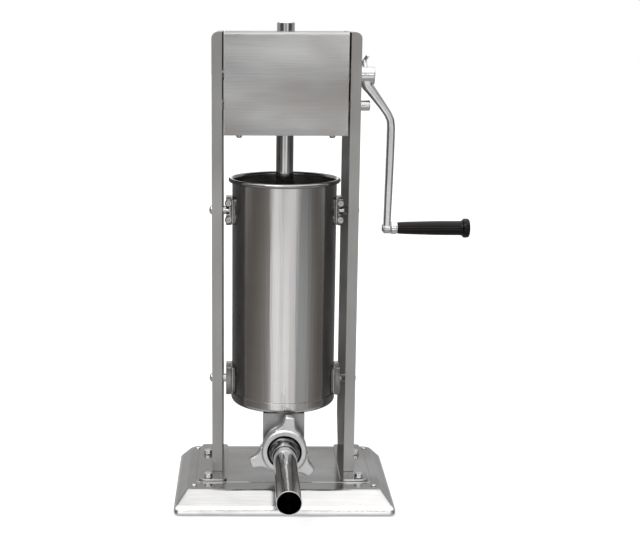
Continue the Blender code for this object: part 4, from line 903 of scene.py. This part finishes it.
def surroundings():
    """A studio by direction: white panels in front and behind, darker sides, a bright ceiling."""
    world = bpy.data.worlds.new("studio")
    bpy.context.scene.world = world
    world.use_nodes = True
    tree = world.node_tree
    background = tree.nodes["Background"]
    place = tree.nodes.new("ShaderNodeTexCoord").outputs["Generated"]
    parts = tree.nodes.new("ShaderNodeSeparateXYZ")
    tree.links.new(place, parts.inputs[0])

    def maths(operation, first, second=None):
        made = tree.nodes.new("ShaderNodeMath")
        made.operation = operation
        for socket, value in zip(made.inputs, (first, second)):
            if isinstance(value, bpy.types.NodeSocket):
                tree.links.new(value, socket)
            elif value is not None:
                socket.default_value = value
        return made.outputs[0]

    def ramp(share, stops):
        made = tree.nodes.new("ShaderNodeValToRGB")
        bands = made.color_ramp.elements
        while len(bands) < len(stops):
            bands.new(0.5)
        for band, (at, colour) in zip(bands, stops):
            band.position = at
            band.color = (*colour, 1)
        tree.links.new(share, made.inputs[0])
        return made.outputs["Color"]

    def grey(value, warm=0.0):
        return (value * (1 + warm), value, value * (1 - warm))

    back = maths("MULTIPLY", parts.outputs["Y"], -1.0)
    azimuth = maths("ARCTAN2", parts.outputs["X"], back)
    share = maths("ADD", maths("MULTIPLY", azimuth, 1 / (2 * math.pi)), 0.5)

    def walls(stops):
        """A grey that changes with azimuth; a stop is degrees, brightness and how warm it is."""
        return ramp(share, [(0.5 + degrees / 360, grey(*tone)) for degrees, *tone in stops])

    def both_sides(*right, between=()):
        """Stops for the right-hand side, mirrored to the left, with others in the middle."""
        return [(-degrees, *tone) for degrees, *tone in reversed(right)] + [*between, *right]

    low_middle = ((-50, 0.24, 0.08), (-33, 0.40, 0.03), (-25, 1.40), (-10, 1.45), (-6, 1.00), (-2, 1.45),
                  (7, 1.45), (13, 1.00), (22, 1.10), (28, 0.42), (36, 0.55, -0.03), (50, 0.50, -0.02),
                  (62, 0.26, 0.06))
    high_middle = ((-70, 0.10, 0.06), (-32, 0.10, 0.06), (-26, 0.80), (-12, 0.80), (-7, 0.32), (6, 0.34),
                   (11, 0.95), (27, 0.95), (34, 0.10, 0.06), (75, 0.10, 0.06))
    low_walls = walls(both_sides((84, 0.11, 0.14), (97, 0.11, 0.14), (108, 0.50), (138, 0.46), (168, 0.36),
                                 (174, 0.80), (180, 1.20), between=low_middle))
    high_walls = walls(both_sides((96, 0.46), (138, 0.42), (164, 0.50), (172, 1.20), (180, 1.50),
                                  between=high_middle))
    upper_walls = walls(both_sides((20, 0.60), (40, 0.40), (110, 0.45), (150, 0.45), (180, 0.50)))
    strip = walls(both_sides((14, 9.0), (17, 0.50), (110, 0.45), (180, 0.50)))
    height = parts.outputs["Z"]
    ceiling = ramp(height, [(0.0, grey(0.30)), (0.45, grey(0.45)), (0.62, grey(1.1)), (0.80, grey(1.8)),
                            (1.0, grey(1.95))])

    def blend(value, low, high, first, second):
        """From the first colour to the second as the value goes from low to high."""
        between = tree.nodes.new("ShaderNodeMapRange")
        tree.links.new(value, between.inputs[0])
        for socket, number in zip(list(between.inputs)[1:5], (low, high, 0.0, 1.0)):
            socket.default_value = number
        mix = tree.nodes.new("ShaderNodeMix")
        mix.data_type = "RGBA"
        tree.links.new(between.outputs[0], mix.inputs["Factor"])
        colours = [s for s in mix.inputs if s.type == "RGBA"]
        for socket, colour in zip(colours, (first, second)):
            if isinstance(colour, bpy.types.NodeSocket):
                tree.links.new(colour, socket)
            else:
                socket.default_value = (*colour, 1)
        return [s for s in mix.outputs if s.type == "RGBA"][0]

    layers = ((-0.50, -0.34, low_walls), (-0.165, -0.105, high_walls), (0.19, 0.23, upper_walls),
              (0.285, 0.292, strip), (0.325, 0.332, upper_walls), (0.44, 0.58, ceiling))
    seen = grey(0.45)
    for low, high, above in layers:
        seen = blend(height, low, high, seen, above)
    tree.links.new(seen, background.inputs["Color"])
    background.inputs["Strength"].default_value = 1.0


def floor():
    """A pale floor, and a white dome round it that only the camera sees."""
    half, dome_r = 14.0, 13.0
    mesh = bmesh.new()
    corners = ((-half, -half), (half, -half), (half, half), (-half, half))
    mesh.faces.new([mesh.verts.new((x, y, 0)) for x, y in corners])
    made = as_object("floor", mesh)
    pale = Finish("pale_floor")
    pale.set(Base_Color=pale.mix(pale.noise(6.0), rgb(.70, .70, .70), rgb(.73, .73, .73)), Roughness=0.75,
             Specular_IOR_Level=0.2, Emission_Color=rgb(1, 1, 1), Emission_Strength=0.30)
    made.data.materials.append(pale.material)
    made.visible_glossy = False
    mesh = bmesh.new()
    bmesh.ops.create_uvsphere(mesh, u_segments=48, v_segments=24, radius=dome_r)
    bmesh.ops.reverse_faces(mesh, faces=mesh.faces)
    dome = as_object("backdrop", mesh)
    glow = Finish("pale_backdrop")
    glow.set(Base_Color=rgb(0, 0, 0), Emission_Color=rgb(1, 1, 1), Emission_Strength=1.0, Roughness=1.0,
             Specular_IOR_Level=0.0)
    dome.data.materials.append(glow.material)
    dome.visible_glossy = False
    dome.visible_diffuse = False
    dome.visible_shadow = False
    dome.visible_transmission = False


def studio():
    camera()
    surroundings()
    floor()
    area_light("key", (-0.9, -1.5, 2.1), (-0.05, 0, 0.3), 1.2, 22)
    bpy.context.scene.view_settings.view_transform = "Standard"


finish = make_finishes()
keep_nodes(finish)
base_shell(finish["base"])
hardware(finish["zinc"])
feet(finish["rubber"])
cylinder(finish["cylinder"], finish["weld"])
saddles(finish["bracket"], finish["inner"])
pins(finish["bright"])
outlet(finish["sheet"], finish["weld"])
nozzle(finish["tube"], finish["silicone"], finish["cast"])
rack(finish["bright"])
crank(finish["crank"], finish["chrome"], finish["plastic"])
studio()

bpy.context.view_layer.update()
